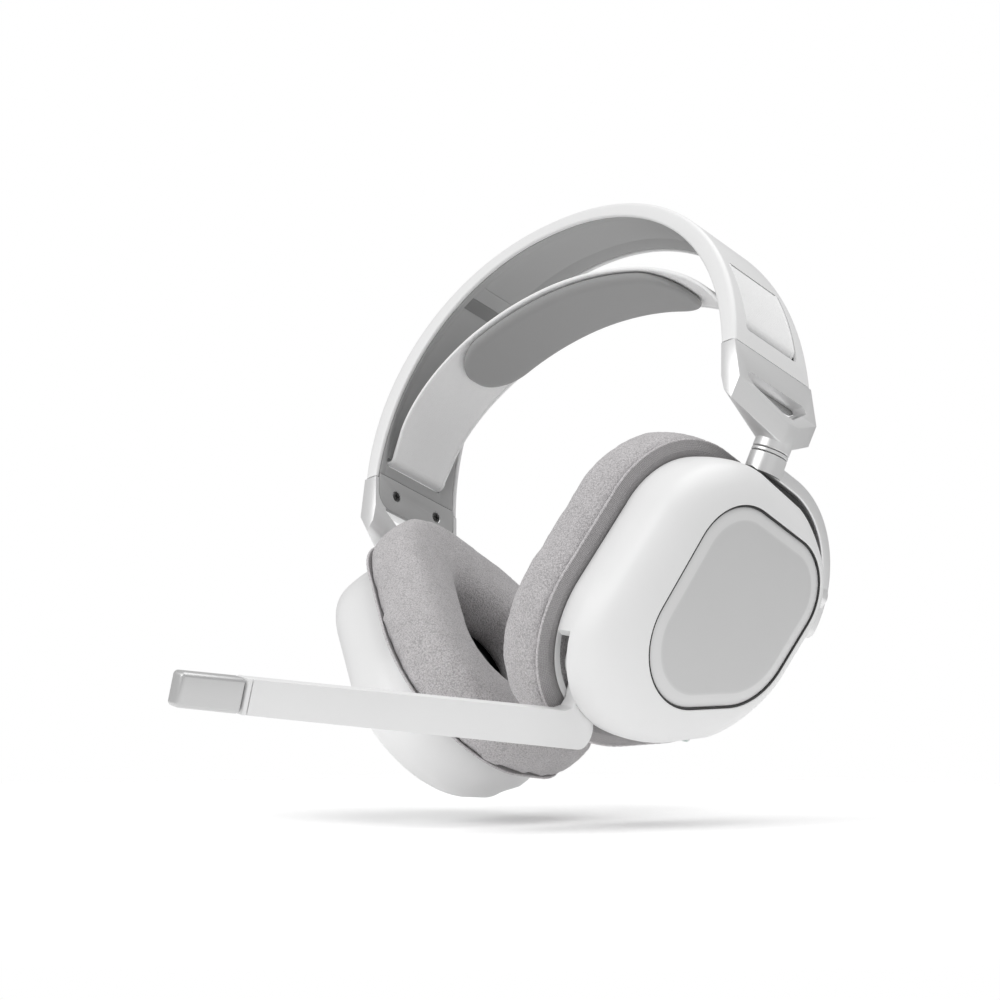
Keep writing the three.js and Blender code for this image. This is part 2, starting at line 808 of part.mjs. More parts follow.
function baffle(isLeft) {
  const plate = cupPrism(shoulderOffset - wallDraft - cupWall - gap, 0, baffleThickness);
  const mouth = rod(driverRadius - mouthLip, -1, baffleThickness + 1, "x", [driverU, driverV], 40);
  const base = cut(plate, mouth);
  return isLeft ? cut(base, boomSlot(), boomHeadRelief()) : base;
}

function driverFrame() {
  const front = baffleThickness + gap;
  return turned(
    [
      [driverRadius - 2.2, front],
      [driverRadius, front],
      [driverRadius, front + 3],
      [driverRadius - 6, front + 6.4],
      [magnetRadius + 2.4, front + 6.4],
      [magnetRadius + 2.4, front + 5],
      [driverRadius - 7, front + 5],
      [driverRadius - 2.2, front + 1.8],
      [driverRadius - 2.2, front],
    ],
    [driverU, driverV],
  );
}

function magnet() {
  const front = baffleThickness + gap + 4.9;
  const back = baffleThickness + gap + driverDepth;
  return rod(magnetRadius, front, back, "x", [driverU, driverV], 32);
}

function diaphragm() {
  const front = baffleThickness + gap;
  const edge = driverRadius - 2.6;
  return turned(
    [
      [0, front + 3.2],
      [6, front + 3.9],
      [9.5, front + 4.5],
      [14, front + 2.8],
      [edge, front + 0.5],
      [edge, front + 0.9],
      [14, front + 3.2],
      [9.5, front + 4.8],
      [6, front + 4.3],
      [0, front + 3.6],
    ],
    [driverU, driverV],
  );
}

function earScreen() {
  return cupPrism(earOpening - 0.5, -1.3, -gap);
}

function cushion() {
  const back = -0.6;
  const front = back - cushionDepth;
  return cupLoft(
    [
      [back, cushionOffset - 4.6],
      [back - 1.8, cushionOffset - 1],
      [back - 4.6, cushionOffset],
      [front + 6, cushionOffset - 0.3],
      [front + 2, cushionOffset - 2.6],
      [front, cushionOffset - 7],
      [front, earOpening + 4.4],
      [front + 2.4, earOpening + 1],
      [front + 6, earOpening],
      [back, earOpening],
    ],
    true,
  );
}

// ---- Yoke ----
function yoke() {
  const from = tiltW - yokeWidth / 2;
  const to = tiltW + yokeWidth / 2;
  const hoop = cut(cupPrism(yokeOuter, from, to), cupPrism(yokeInner, from - 1, to + 1));
  const span = box([40, 70, 80], [0, barrelU + 35, tiltV + 40 - yokeTail]);
  const topV = ringHeight - collarThickness / 2 - runningGap;
  const armTop = topEdge(yokeInner);
  const barrel = rod(barrelRadius, armTop, topV, "z", [barrelW, barrelU]);
  const outer = rearWallAt(yokeOuter);
  const inner = rearWallAt(yokeInner);
  const boss = rod(yokeBossRadius, inner, outer, "y", [tiltW, tiltV]);
  return cut(
    join(hoop.intersect(span), barrel, boss),
    rod(swivelPinRadius + gap, ringHeight - swivelPinDown - gap, ringHeight + 2, "z", [barrelW, barrelU]),
    rod(tiltPinRadius + gap, inner - 1, outer - 1.2, "y", [tiltW, tiltV]),
  );
}

// v of the outline's upper edge over the barrel, and u of its rear edge at the tilt pivot
function topEdge(offset) {
  const [a, , , d] = cupCorners;
  const share = (barrelU - a.u) / (d.u - a.u);
  return a.v + (d.v - a.v) * share + offset / Math.cos(Math.atan2(d.v - a.v, d.u - a.u));
}

function rearWallAt(offset) {
  return rearWall(tiltV) + offset - shoulderOffset;
}

function tiltPin() {
  return rod(tiltPinRadius, rearWall(tiltV) - 4, rearWallAt(yokeOuter) - 1.5, "y", [tiltW, tiltV]);
}

function swivelPin() {
  return swivelRod(swivelPinRadius, -swivelPinDown, swivelPinUp);
}

// ---- Microphone boom ----
function boomOutline() {
  const root = boomRootHeight / 2;
  const tail = boomTail - root * 0.8;
  const end = boomReach - micTipLength - micCollarLength - gap;
  const endHalf = boomHalfHeight(end);
  const points = [];
  for (let k = 0; k <= 6; k++) {
    const turn = Math.PI / 2 + (k * Math.PI) / 6;
    points.push([-tail + root * 0.8 * Math.cos(turn), -boomDrop + root * Math.sin(turn)]);
  }
  points.push([end, -boomDrop - endHalf], [end, -boomDrop + endHalf]);
  const neck = boomNeck / 2;
  points.push([neck + 3, -boomDrop + root], [neck, -boomDrop + root + 3]);
  points.push([neck, 0], [-neck, 0], [-neck, -boomDrop + root]);
  return points.map(([forward, up]) => boomPoint(forward, up)).reverse();
}

function boomHalfHeight(forward) {
  return (boomRootHeight + ((boomTipHeight - boomRootHeight) * forward) / boomReach) / 2;
}

function boomArm() {
  const outer = boomInner + boomThickness;
  const arm = prism(boomOutline(), boomInner, outer, "x");
  const hub = rod(boomHubRadius, boomInner, outer, "x", [boomU, boomV], 32);
  return cut(join(arm, hub), boomBore());
}

// A length of the boom's section between two distances along the arm
function boomBlock(from, to, shrink, bevel) {
  const outline = (forward, grow) => {
    const half = boomHalfHeight(forward) - grow;
    return [boomPoint(forward, -boomDrop - half), boomPoint(forward, -boomDrop + half)];
  };
  const inner = boomInner + shrink;
  const outer = boomInner + boomThickness - shrink;
  const rings = [from, to - bevel, to].map((forward) => {
    const grow = shrink + (forward === to ? bevel : 0);
    const [low, high] = outline(forward, grow);
    const side = forward === to ? bevel * 0.6 : 0;
    const [near, far] = [inner + side, outer - side];
    return [[near, ...low], [far, ...low], [far, ...high], [near, ...high]];
  });
  return skinned(rings);
}

function boomCollar() {
  const from = boomReach - micTipLength - micCollarLength;
  return boomBlock(from, from + micCollarLength - gap, -0.1, 0.01);
}

function boomTip() {
  const from = boomReach - micTipLength;
  return cut(boomBlock(from, boomReach, 0, 1.6), boomBlock(from - 1, boomReach - 3, 1, 0.01));
}

function micCapsule() {
  const [u, v] = boomPoint(boomReach - 8, -boomDrop);
  return rod(3, boomInner + 1.4, boomInner + 3.6, "x", [u, v]);
}

function boomScrew() {
  const head = rod(boomScrewRadius, -gap, boomInner - 0.25, "x", [boomU, boomV]);
  return join(head, rod(boomPinRadius, -gap, boomInner + boomThickness + 4, "x", [boomU, boomV]));
}

// ---- Electronics and controls ----
function mainBoard() {
  const front = baffleThickness + driverDepth + 2 * gap;
  return cupPrism(-4, front, front + boardThickness);
}

function battery() {
  const front = baffleThickness + driverDepth + 2 * gap;
  const back = cupDepth - panelThickness - gap - cupWall - 0.4;
  return box([back - front, batteryLength, batteryHeight], [(front + back) / 2, driverU, driverV]);
}

function usbPort() {
  const shell = edgeBlock([usbHeight, usbWidth, usbDepth], usbAlong, shoulderOffset - 0.3, 1.4);
  const mouthSize = [usbHeight - 0.8, usbWidth - 0.8, usbDepth - 1];
  const mouth = edgeBlock(mouthSize, usbAlong, shoulderOffset + 0.2, 1.1);
  const tongue = edgeBlock([0.7, usbWidth - 2.6, usbDepth - 1.4], usbAlong, shoulderOffset - 1, 0.1);
  return join(cut(shell, mouth), tongue);
}

function powerButton() {
  return edgeBlock([buttonWidth, buttonLength, 4], buttonAlong, shoulderOffset + buttonProud, 1.4);
}

function volumeWheel() {
  const half = wheelThickness / 2;
  const teeth = 30;
  const rim = [];
  for (let k = 0; k < teeth * 2; k++) {
    const turn = (k * Math.PI) / teeth;
    const radius = wheelRadius - (k % 2) * 0.35;
    rim.push([wheelU + radius * Math.cos(turn), wheelV + radius * Math.sin(turn)]);
  }
  const bore = rod(axleRadius + gap, 0, 20, "x", [wheelU, wheelV]);
  return cut(prism(rim, controlW - half, controlW + half, "x"), bore);
}

function wheelAxle() {
  const half = wheelThickness / 2;
  return rod(axleRadius, controlW - half - 1.6, controlW + half + 1, "x", [wheelU, wheelV], 16);
}

// ---- Assembly ----
// A group in one cup's own frame: it leans about the front-back axis and toes in about the swivel
function cupFrame(toe) {
  const leaning = new THREE.Group();
  leaning.position.set(swivelX, 0, swivelZ);
  leaning.rotation.y = lean;
  const toed = new THREE.Group();
  toed.rotation.z = radians(toe);
  const cup = new THREE.Group();
  cup.position.set(-barrelW, -barrelU, -ringHeight);
  leaning.add(toed);
  toed.add(cup);
  return { leaning, cup };
}

function sideOf(name, isLeft) {
  const side = new THREE.Group();
  if (!isLeft) side.scale.x = -1;
  const add = (part, shape, material) => side.add(meshOf(`${name}_${part}`, shape, material));
  add("liner_cap", linerCap(), linerGrey);
  capScrewPlaces().forEach((place, i) => add(`cap_screw_${i + 1}`, capScrew(place), darkPlastic));
  add("hook_patch", hookPatch(), darkPlastic);
  add("link", link(), silver);
  add("swivel_pin", swivelPin(), steel);
  add("swivel_collar", swivelCollar(), darkPlastic);

  const { leaning, cup } = cupFrame(isLeft ? leftToe : rightToe);
  const fit = (part, shape, material) => cup.add(meshOf(`${name}_${part}`, shape, material));
  fit("yoke", yoke(), silver);
  fit("tilt_pin", tiltPin(), steel);
  fit("housing", housing(isLeft), whiteShell);
  fit("panel", panel(), greyPanel);
  fit("baffle", baffle(isLeft), darkPlastic);
  fit("driver_frame", driverFrame(), darkPlastic);
  fit("magnet", magnet(), steel);
  fit("diaphragm", diaphragm(), film);
  fit("ear_screen", earScreen(), screenCloth);
  fit("cushion", cushion(), cushionKnit);
  if (!isLeft) fit("battery", battery(), tipGrey);
  side.add(leaning);
  return { side, cup };
}

function leftCupExtras(cup) {
  const fit = (name, shape, material) => cup.add(meshOf(name, shape, material));
  fit("main_board", mainBoard(), boardGreen);
  fit("usb_port", usbPort(), steel);
  fit("status_light", lightPipe(lightRadius, 0), lightClear);
  fit("power_button", powerButton(), greyPanel);
  fit("volume_wheel", volumeWheel(), greyPanel);
  fit("wheel_axle", wheelAxle(), steel);
  fit("boom_screw", boomScrew(), steel);
  fit("boom_arm", boomArm(), whiteShell);
  fit("boom_collar", boomCollar(), whiteShell);
  fit("boom_tip", boomTip(), tipGrey);
  fit("mic_capsule", micCapsule(), rubberBlack);
}

function headset() {
  const band = new THREE.Group();
  band.position.z = -(strapUnderside(0) - gap - padThickness);
  band.add(meshOf("band_shell", bandShell(), whiteShell));
  band.add(meshOf("band_spring", bandSpring(), steel));
  band.add(meshOf("band_liner", bandLiner(), linerGrey));
  band.add(meshOf("crossover_cable", crossoverCable(), rubberBlack));
  band.add(meshOf("strap", strapRibbon(), strapCloth));
  band.add(meshOf("strap_pad", strapPad(), padGrey));
  const left = sideOf("left", true);
  const right = sideOf("right", false);
  leftCupExtras(left.cup);
  band.add(left.side, right.side);
  const root = new THREE.Group();
  root.add(band);
  return root;
}

export default headset();
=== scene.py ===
# Over-ear wireless gaming headset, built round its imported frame.
# Shapes are worked out in millimetres of the band's or a cup's own frame; a mesh is made in metres.
import json
import math

import bmesh
import bpy
import numpy as np
from mathutils import Matrix, Vector, noise


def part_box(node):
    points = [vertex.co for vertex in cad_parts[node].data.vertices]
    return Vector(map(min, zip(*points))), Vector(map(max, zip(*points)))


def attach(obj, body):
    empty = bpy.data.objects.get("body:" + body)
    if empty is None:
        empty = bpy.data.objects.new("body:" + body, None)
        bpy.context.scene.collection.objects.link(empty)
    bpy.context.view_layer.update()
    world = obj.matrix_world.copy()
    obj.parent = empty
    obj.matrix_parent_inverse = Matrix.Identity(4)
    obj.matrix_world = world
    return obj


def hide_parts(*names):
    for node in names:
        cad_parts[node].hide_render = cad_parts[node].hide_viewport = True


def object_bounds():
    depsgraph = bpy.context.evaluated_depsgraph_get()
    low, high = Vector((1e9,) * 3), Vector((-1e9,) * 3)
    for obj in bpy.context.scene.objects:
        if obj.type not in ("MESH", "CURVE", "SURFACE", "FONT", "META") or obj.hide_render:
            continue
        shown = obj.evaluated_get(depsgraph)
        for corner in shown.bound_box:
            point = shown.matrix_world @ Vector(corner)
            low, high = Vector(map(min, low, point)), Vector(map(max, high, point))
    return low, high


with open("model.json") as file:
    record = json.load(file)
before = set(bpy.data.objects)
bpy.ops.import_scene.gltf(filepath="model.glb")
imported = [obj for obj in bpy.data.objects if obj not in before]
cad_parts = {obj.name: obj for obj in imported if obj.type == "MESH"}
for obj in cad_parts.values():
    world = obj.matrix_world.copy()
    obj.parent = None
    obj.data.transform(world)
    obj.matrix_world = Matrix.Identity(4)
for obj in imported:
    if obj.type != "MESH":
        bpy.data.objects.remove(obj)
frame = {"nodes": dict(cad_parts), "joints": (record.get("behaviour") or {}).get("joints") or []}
cadLow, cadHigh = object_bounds()
mm = 0.001
gap = 0.3
print("stage: frame loaded")

# ---------- Where things are, from the frame ----------

joints = {joint["name"]: joint for joint in frame["joints"]}
shellLow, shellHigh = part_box("band_shell")
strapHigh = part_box("strap")[1]
bandBase = shellLow.z - gap / 2 * mm  # height of the arch's ends
bandPlace = Matrix.Translation((0, 0, bandBase)) @ Matrix.Diagonal((mm, mm, mm, 1))
sides = ("left", "right")
sidePlace = {"left": bandPlace, "right": bandPlace @ Matrix.Diagonal((-1, 1, 1, 1))}

cupSeat = {"barrelOut": 6.9, "barrelBack": 2.8, "ringHeight": 54.7}


def cupPlaceOf(side):
    # w points out of the ear, u to the rear and v up: the two hinge axes give u and v
    sign = -1 if side == "left" else 1
    back = Vector(joints[side + "_tilt"]["axis"]).normalized() * sign
    up = Vector(joints[side + "_swivel"]["axis"]).normalized() * -sign
    out = back.cross(up).normalized() * -sign
    ring = Vector(joints[side + "_swivel"]["pos_m"])
    offset = out * cupSeat["barrelOut"] + back * cupSeat["barrelBack"] + up * cupSeat["ringHeight"]
    place = Matrix.Identity(4)
    for column, axis in enumerate((out, back, up)):
        for row in range(3):
            place[row][column] = axis[row] * mm
    place.translation = ring - offset * mm
    return place


cupPlace = {side: cupPlaceOf(side) for side in sides}

# ---------- Mesh tools ----------


def cleanMesh(mesh, smoothAngle=30):
    work = bmesh.new()
    work.from_mesh(mesh)
    bmesh.ops.recalc_face_normals(work, faces=work.faces)
    work.to_mesh(mesh)
    work.free()
    mesh.shade_smooth()
    mesh.set_sharp_from_angle(angle=math.radians(smoothAngle))


def meshPiece(name, points, faces, place, smoothAngle=30):
    mesh = bpy.data.meshes.new(name)
    mesh.from_pydata([place @ Vector(p) for p in points], [], faces)
    cleanMesh(mesh, smoothAngle)
    piece = bpy.data.objects.new(name, mesh)
    bpy.context.scene.collection.objects.link(piece)
    return piece


def loftPiece(name, rings, place, loop=False, caps=True, smoothAngle=30, weave=False):
    rings = np.array(rings, float)
    ringCount, pointCount = rings.shape[:2]
    faces = []
    for k in range(ringCount if loop else ringCount - 1):
        here, after = k * pointCount, (k + 1) % ringCount * pointCount
        for i in range(pointCount):
            j = (i + 1) % pointCount
            faces.append((here + i, here + j, after + j, after + i))
    if caps and not loop:
        faces.append(tuple(range(pointCount))[::-1])
        faces.append(tuple(range((ringCount - 1) * pointCount, ringCount * pointCount)))
    piece = meshPiece(name, rings.reshape(-1, 3).tolist(), faces, place, smoothAngle)
    if weave:
        addLengths(piece, rings)
    return piece


def addLengths(piece, rings):
    # a map of lengths in millimetres: first coordinate round the ring, second along the loft
    pointCount = rings.shape[1]
    around = np.linalg.norm(np.roll(rings, -1, axis=1) - rings, axis=2).mean(axis=0)
    around = np.concatenate([[0], np.cumsum(around)])
    along = np.linalg.norm(np.diff(rings, axis=0), axis=2).mean(axis=1)
    along = np.concatenate([[0], np.cumsum(along)])
    layer = piece.data.uv_layers.new(name="lengths")
    for face in piece.data.polygons:
        columns = [piece.data.loops[i].vertex_index % pointCount for i in face.loop_indices]
        wraps = max(columns) - min(columns) > pointCount / 2 and len(columns) == 4
        for loopIndex, column in zip(face.loop_indices, columns):
            row = piece.data.loops[loopIndex].vertex_index // pointCount
            position = around[pointCount] if wraps and column == 0 else around[column]
            layer.data[loopIndex].uv = (position, along[row])


def bake(piece):
    # the piece keeps the mesh that its modifiers make
    graph = bpy.context.evaluated_depsgraph_get()
    graph.update()
    made = bpy.data.meshes.new_from_object(piece.evaluated_get(graph), depsgraph=graph)
    made.name = piece.name
    piece.modifiers.clear()
    piece.data = made
    return piece


def remove(*pieces):
    for piece in pieces:
        bpy.data.objects.remove(piece, do_unlink=True)


def combine(piece, others, operation):
    for other in others:
        step = piece.modifiers.new("boolean", "BOOLEAN")
        step.operation = operation
        step.object = other
        step.solver = "EXACT"
    bake(piece)
    remove(*others)
    return piece


def carve(piece, cutters, smoothAngle=30):
    combine(piece, cutters, "DIFFERENCE")
    cleanMesh(piece.data, smoothAngle)
    return piece


def weld(piece, others, smoothAngle=30):
    combine(piece, others, "UNION")
    cleanMesh(piece.data, smoothAngle)
    return piece


def softenEdges(piece, width, segments=3, angle=30, smoothAngle=40):
    merge = piece.modifiers.new("merge", "WELD")
    merge.merge_threshold = 0.01 * mm
    flat = piece.modifiers.new("dissolve", "DECIMATE")
    flat.decimate_type = "DISSOLVE"
    flat.angle_limit = math.radians(1.0)
    bevel = piece.modifiers.new("bevel", "BEVEL")
    bevel.width = width * mm
    bevel.segments = segments
    bevel.limit_method = "ANGLE"
    bevel.angle_limit = math.radians(angle)
    bevel.miter_outer = "MITER_ARC"
    bevel.use_clamp_overlap = True
    bake(piece)
    piece.data.shade_smooth()
    piece.data.set_sharp_from_angle(angle=math.radians(smoothAngle))
    return piece


def prismPiece(name, outline, start, end, axis, place):
    # outline points are (y, z) along x, (x, z) along y and (x, y) along z
    order = {"x": (2, 0, 1), "y": (0, 2, 1), "z": (0, 1, 2)}[axis]
    rings = []
    for depth in (start, end):
        rings.append([[(a, b, depth)[i] for i in order] for a, b in outline])
    return loftPiece(name, rings, place)


def rodPiece(name, radius, start, end, axis, centre, place, sides=48):
    turns = [2 * math.pi * k / sides for k in range(sides)]
    outline = [(centre[0] + radius * math.cos(t), centre[1] + radius * math.sin(t)) for t in turns]
    return prismPiece(name, outline, start, end, axis, place)


def rectangle(lowA, lowB, highA, highB):
    return [(lowA, lowB), (highA, lowB), (highA, highB), (lowA, highB)]


def boxPiece(name, low, high, place):
    return prismPiece(name, rectangle(*low[:2], *high[:2]), low[2], high[2], "z", place)


def lathePiece(name, profile, at, place, sides=72):
    # profile lists (radius, distance along the axis), closed on itself; at(a, b, along) places a point
    rings = []
    for k in range(sides):
        c, s = math.cos(2 * math.pi * k / sides), math.sin(2 * math.pi * k / sides)
        rings.append([at(r * c, r * s, along) for r, along in profile])
    return loftPiece(name, rings, place, loop=True)


# A closed outline with its corners rounded; every corner gives the same count of points
def filleted(points, radii, steps=4):
    points = [np.array(p, float) for p in points]
    radii = radii if hasattr(radii, "__len__") else [radii] * len(points)
    made = []
    for i, corner in enumerate(points):
        before, after = points[i - 1] - corner, points[(i + 1) % len(points)] - corner
        lengthBefore, lengthAfter = np.linalg.norm(before), np.linalg.norm(after)
        before, after = before / lengthBefore, after / lengthAfter
        half = math.acos(max(-0.9999, min(0.9999, float(before @ after)))) / 2
        reach = min(radii[i] / math.tan(half), 0.45 * lengthBefore, 0.45 * lengthAfter)
        radius = reach * math.tan(half)
        middle = before + after
        size = np.linalg.norm(middle)
        if size < 1e-4 or radius < 1e-4:
            for k in range(steps + 1):
                made.append((corner + (before * (1 - k / steps) + after * k / steps) * 1e-3).tolist())
            continue
        centre = corner + middle / size * radius / math.sin(half)
        first, last = corner + before * reach - centre, corner + after * reach - centre
        span = math.acos(max(-1, min(1, float(first @ last) / radius**2)))
        for k in range(steps + 1):
            a, b = math.sin(span * (1 - k / steps)), math.sin(span * k / steps)
            made.append((centre + (first * a + last * b) / math.sin(span)).tolist())
    return made


# A smooth line through a few points
def smoothLine(points, steps=6):
    points = [np.array(p, float) for p in points]
    padded = [2 * points[0] - points[1]] + points + [2 * points[-1] - points[-2]]
    made = []
    for i in range(len(points) - 1):
        p0, p1, p2, p3 = padded[i : i + 4]
        for k in range(steps):
            t = k / steps
            made.append(
                0.5 * (2 * p1 + (p2 - p0) * t + (2 * p0 - 5 * p1 + 4 * p2 - p3) * t**2
                       + (3 * p1 - p0 - 3 * p2 + p3) * t**3)
            )
    made.append(points[-1])
    return [p.tolist() for p in made]


def mirrored(half):
    return half + [(-a, b) for a, b in half[::-1]]


# ---------- Materials ----------


def makeNode(tree, kind, inputs=None, **settings):
    # every input is a constant or the output of another node
    node = tree.nodes.new("ShaderNode" + kind)
    row, column = divmod(len(tree.nodes), 8)
    node.location = (220 * column, -280 * row)
    for name, value in settings.items():
        setattr(node, name, value)
    for name, value in (inputs or {}).items():
        if isinstance(value, bpy.types.NodeSocket):
            tree.links.new(value, node.inputs[name])
        else:
            node.inputs[name].default_value = value
    return node


def mathNode(tree, operation, first, second=0.0, clamp=False):
    node = makeNode(tree, "Math", {0: first, 1: second}, operation=operation, use_clamp=clamp)
    return node.outputs[0]


def centred(tree, noiseValue, strength):
    # noise about zero, times a strength
    return mathNode(tree, "MULTIPLY", mathNode(tree, "SUBTRACT", noiseValue, 0.5), strength)


def scaledVector(tree, vector, scale):
    return makeNode(tree, "VectorMath", {0: vector, "Scale": scale}, operation="SCALE").outputs[0]


def mixColour(tree, share, first, second):
    return makeNode(tree, "Mix", {0: share, 6: first, 7: second}, data_type="RGBA").outputs[2]


def noiseNode(tree, place, scale, detail, roughness=0.5):
    inputs = {"Vector": place, "Scale": scale, "Detail": detail, "Roughness": roughness}
    return makeNode(tree, "TexNoise", inputs).outputs


def ownPlace(tree):
    return makeNode(tree, "TexCoord").outputs["Object"]


def newGroup(name, inputs, outputs):
    group = bpy.data.node_groups.new(name, "ShaderNodeTree")
    for socketName, value in inputs.items():
        kind = {4: "Color", 3: "Vector"}[len(value)] if isinstance(value, tuple) else "Float"
        socket = group.interface.new_socket(socketName, in_out="INPUT", socket_type="NodeSocket" + kind)
        socket.default_value = value
    for socketName in outputs:
        kind = "Color" if socketName == "Color" else "Float"
        group.interface.new_socket(socketName, in_out="OUTPUT", socket_type="NodeSocket" + kind)
    given, end = group.nodes.new("NodeGroupInput"), group.nodes.new("NodeGroupOutput")
    end.location = (0, 300)
    return group, given.outputs, end.inputs


def closeGroup(group, end, **results):
    for name, value in results.items():
        group.links.new(value, end[name])
    return group


# Moulded plastic: a faint orange peel, cloudy tone and slightly worn, brighter edges
def makeMouldedGroup():
    inputs = {"Color": (0.8, 0.8, 0.8, 1), "Roughness": 0.4, "Grain": 2600.0, "Tone": 0.04, "Wear": 0.12}
    group, given, end = newGroup("mouldedSurface", inputs, ("Color", "Roughness", "Height"))
    place = ownPlace(group)
    peel = noiseNode(group, place, given["Grain"], 3.0, 0.55)["Fac"]
    cloud = noiseNode(group, place, 38.0, 4.0)["Fac"]
    edge = makeNode(group, "NewGeometry").outputs["Pointiness"]
    worn = mathNode(group, "MULTIPLY", mathNode(group, "SUBTRACT", edge, 0.52), 9.0, True)
    worn = mathNode(group, "MULTIPLY", worn, given["Wear"])
    tone = centred(group, cloud, given["Tone"])
    lift = mathNode(group, "ADD", mathNode(group, "ADD", tone, worn), 1.0)
    colour = scaledVector(group, given["Color"], lift)
    rough = mathNode(group, "ADD", centred(group, cloud, 0.12), given["Roughness"], True)
    return closeGroup(group, end, Color=colour, Roughness=rough, Height=peel)


# Plain weave on a map of lengths in millimetres
def makeWeaveGroup():
    inputs = {"Thread": (0.6, 0.6, 0.6, 1), "Shadow": (0.3, 0.3, 0.3, 1), "Warp per mm": 2.0,
              "Weft per mm": 2.0, "Slub": 0.15}
    group, given, end = newGroup("plainWeave", inputs, ("Color", "Height"))
    lengths = makeNode(group, "UVMap", uv_map="lengths").outputs[0]
    parts = makeNode(group, "SeparateXYZ", {0: lengths}).outputs
    counts, ridges = [], []
    for part, density in zip(parts, ("Warp per mm", "Weft per mm")):
        count = mathNode(group, "MULTIPLY", part, given[density])
        wave = mathNode(group, "SINE", mathNode(group, "MULTIPLY", count, math.pi))
        counts.append(count)
        ridges.append(mathNode(group, "ABSOLUTE", wave))
    cell = makeNode(group, "CombineXYZ", {0: counts[0], 1: counts[1], 2: 0.5}).outputs[0]
    colours = {"Color1": (1, 1, 1, 1), "Color2": (0, 0, 0, 1)}
    checks = makeNode(group, "TexChecker", {"Vector": cell, "Scale": 1.0, **colours}).outputs["Fac"]
    weave = makeNode(group, "Mix", {0: checks, 2: ridges[0], 3: ridges[1]}, data_type="FLOAT").outputs[0]
    slub = noiseNode(group, ownPlace(group), 900.0, 3.0)["Fac"]
    uneven = centred(group, slub, given["Slub"])
    height = mathNode(group, "ADD", weave, mathNode(group, "MULTIPLY", uneven, 2.0))
    shade = mathNode(group, "ADD", mathNode(group, "POWER", weave, 0.6, True), uneven, True)
    colour = mixColour(group, shade, given["Shadow"], given["Thread"])
    return closeGroup(group, end, Color=colour, Height=height)


# Looped knit: small rounded loops of uneven size with fuzz over them
def makeKnitGroup():
    inputs = {"Yarn": (0.45, 0.44, 0.43, 1), "Shadow": (0.25, 0.24, 0.235, 1), "Loops per m": 950.0,
              "Fuzz": 0.5}
    group, given, end = newGroup("loopedKnit", inputs, ("Color", "Height"))
    place = ownPlace(group)
    bend = scaledVector(group, noiseNode(group, place, 420.0, 2.0)["Color"], 0.0016)
    moved = makeNode(group, "VectorMath", {0: place, 1: bend}, operation="ADD").outputs[0]
    values = {"Vector": moved, "Scale": given["Loops per m"], "Smoothness": 0.35}
    loops = makeNode(group, "TexVoronoi", values, feature="SMOOTH_F1").outputs["Distance"]
    fluff = centred(group, noiseNode(group, place, 3200.0, 4.0, 0.65)["Fac"], given["Fuzz"])
    drift = centred(group, noiseNode(group, place, 160.0, 3.0)["Fac"], 0.35)
    rise = mathNode(group, "SUBTRACT", 1.0, mathNode(group, "MULTIPLY", loops, 1.25))
    height = mathNode(group, "ADD", rise, fluff)
    share = mathNode(group, "ADD", height, drift, True)
    colour = mixColour(group, share, given["Shadow"], given["Yarn"])
    return closeGroup(group, end, Color=colour, Height=height)


# Satin or brushed metal: fine streaks along one direction of the object's own space
def makeBrushedGroup():
    inputs = {"Color": (0.6, 0.6, 0.6, 1), "Roughness": 0.3, "Stretch": (1.0, 1.0, 14.0), "Streak": 0.06}
    group, given, end = newGroup("brushedMetal", inputs, ("Color", "Roughness", "Height"))
    stretch = makeNode(group, "VectorMath", {0: ownPlace(group), 1: given["Stretch"]}, operation="MULTIPLY")
    streak = noiseNode(group, stretch.outputs[0], 700.0, 4.0, 0.6)["Fac"]
    tone = centred(group, streak, given["Streak"])
    colour = scaledVector(group, given["Color"], mathNode(group, "ADD", tone, 1.0))
    rough = mathNode(group, "ADD", mathNode(group, "MULTIPLY", tone, 2.0), given["Roughness"])
    return closeGroup(group, end, Color=colour, Roughness=rough, Height=streak)


mouldedGroup, weaveGroup = makeMouldedGroup(), makeWeaveGroup()
knitGroup, brushedGroup = makeKnitGroup(), makeBrushedGroup()


def surface(name, group, groupValues, shaderValues, bumpStrength=0.1, bumpDepth=0.05):
    material = bpy.data.materials.new(name)
    material.use_nodes = True
    tree = material.node_tree
    shader = tree.nodes["Principled BSDF"].inputs
    effect = makeNode(tree, "Group", groupValues, node_tree=group).outputs
    tree.links.new(effect["Color"], shader["Base Color"])
    if "Roughness" in effect:
        tree.links.new(effect["Roughness"], shader["Roughness"])
    inputs = {"Strength": bumpStrength, "Distance": bumpDepth * mm, "Height": effect["Height"]}
    tree.links.new(makeNode(tree, "Bump", inputs).outputs["Normal"], shader["Normal"])
    for socketName, value in shaderValues.items():
        shader[socketName].default_value = value
    return material


def grey(value):
    return (value, value, value, 1)


def knitTone(value):
    # a grey with a touch of mauve
    return (value * 1.01, value * 0.975, value * 0.99, 1)


finishes = {
    "white": {"tone": 0.80, "rough": 0.38, "wear": 0.04},
    "panel": {"tone": 0.58, "rough": 0.42, "wear": 0.05, "rim": 0.72},
    "liner": {"tone": 0.42, "rough": 0.5, "wear": 0.10},
    "pad": {"tone": 0.33, "rough": 0.62, "wear": 0.05},
    "dark": {"tone": 0.022, "rough": 0.55, "wear": 0.3},
    "board": {"tone": 0.10, "rough": 0.45, "wear": 0.1},
    "link": {"tone": 0.80, "rough": 0.32},
    "tip": {"tone": 0.56, "rough": 0.33},
    "steel": {"tone": 0.55, "rough": 0.26},
    "steelDark": {"tone": 0.09, "rough": 0.3},
    "paper": {"tone": 0.95, "rough": 0.9, "wear": 0.0},
}


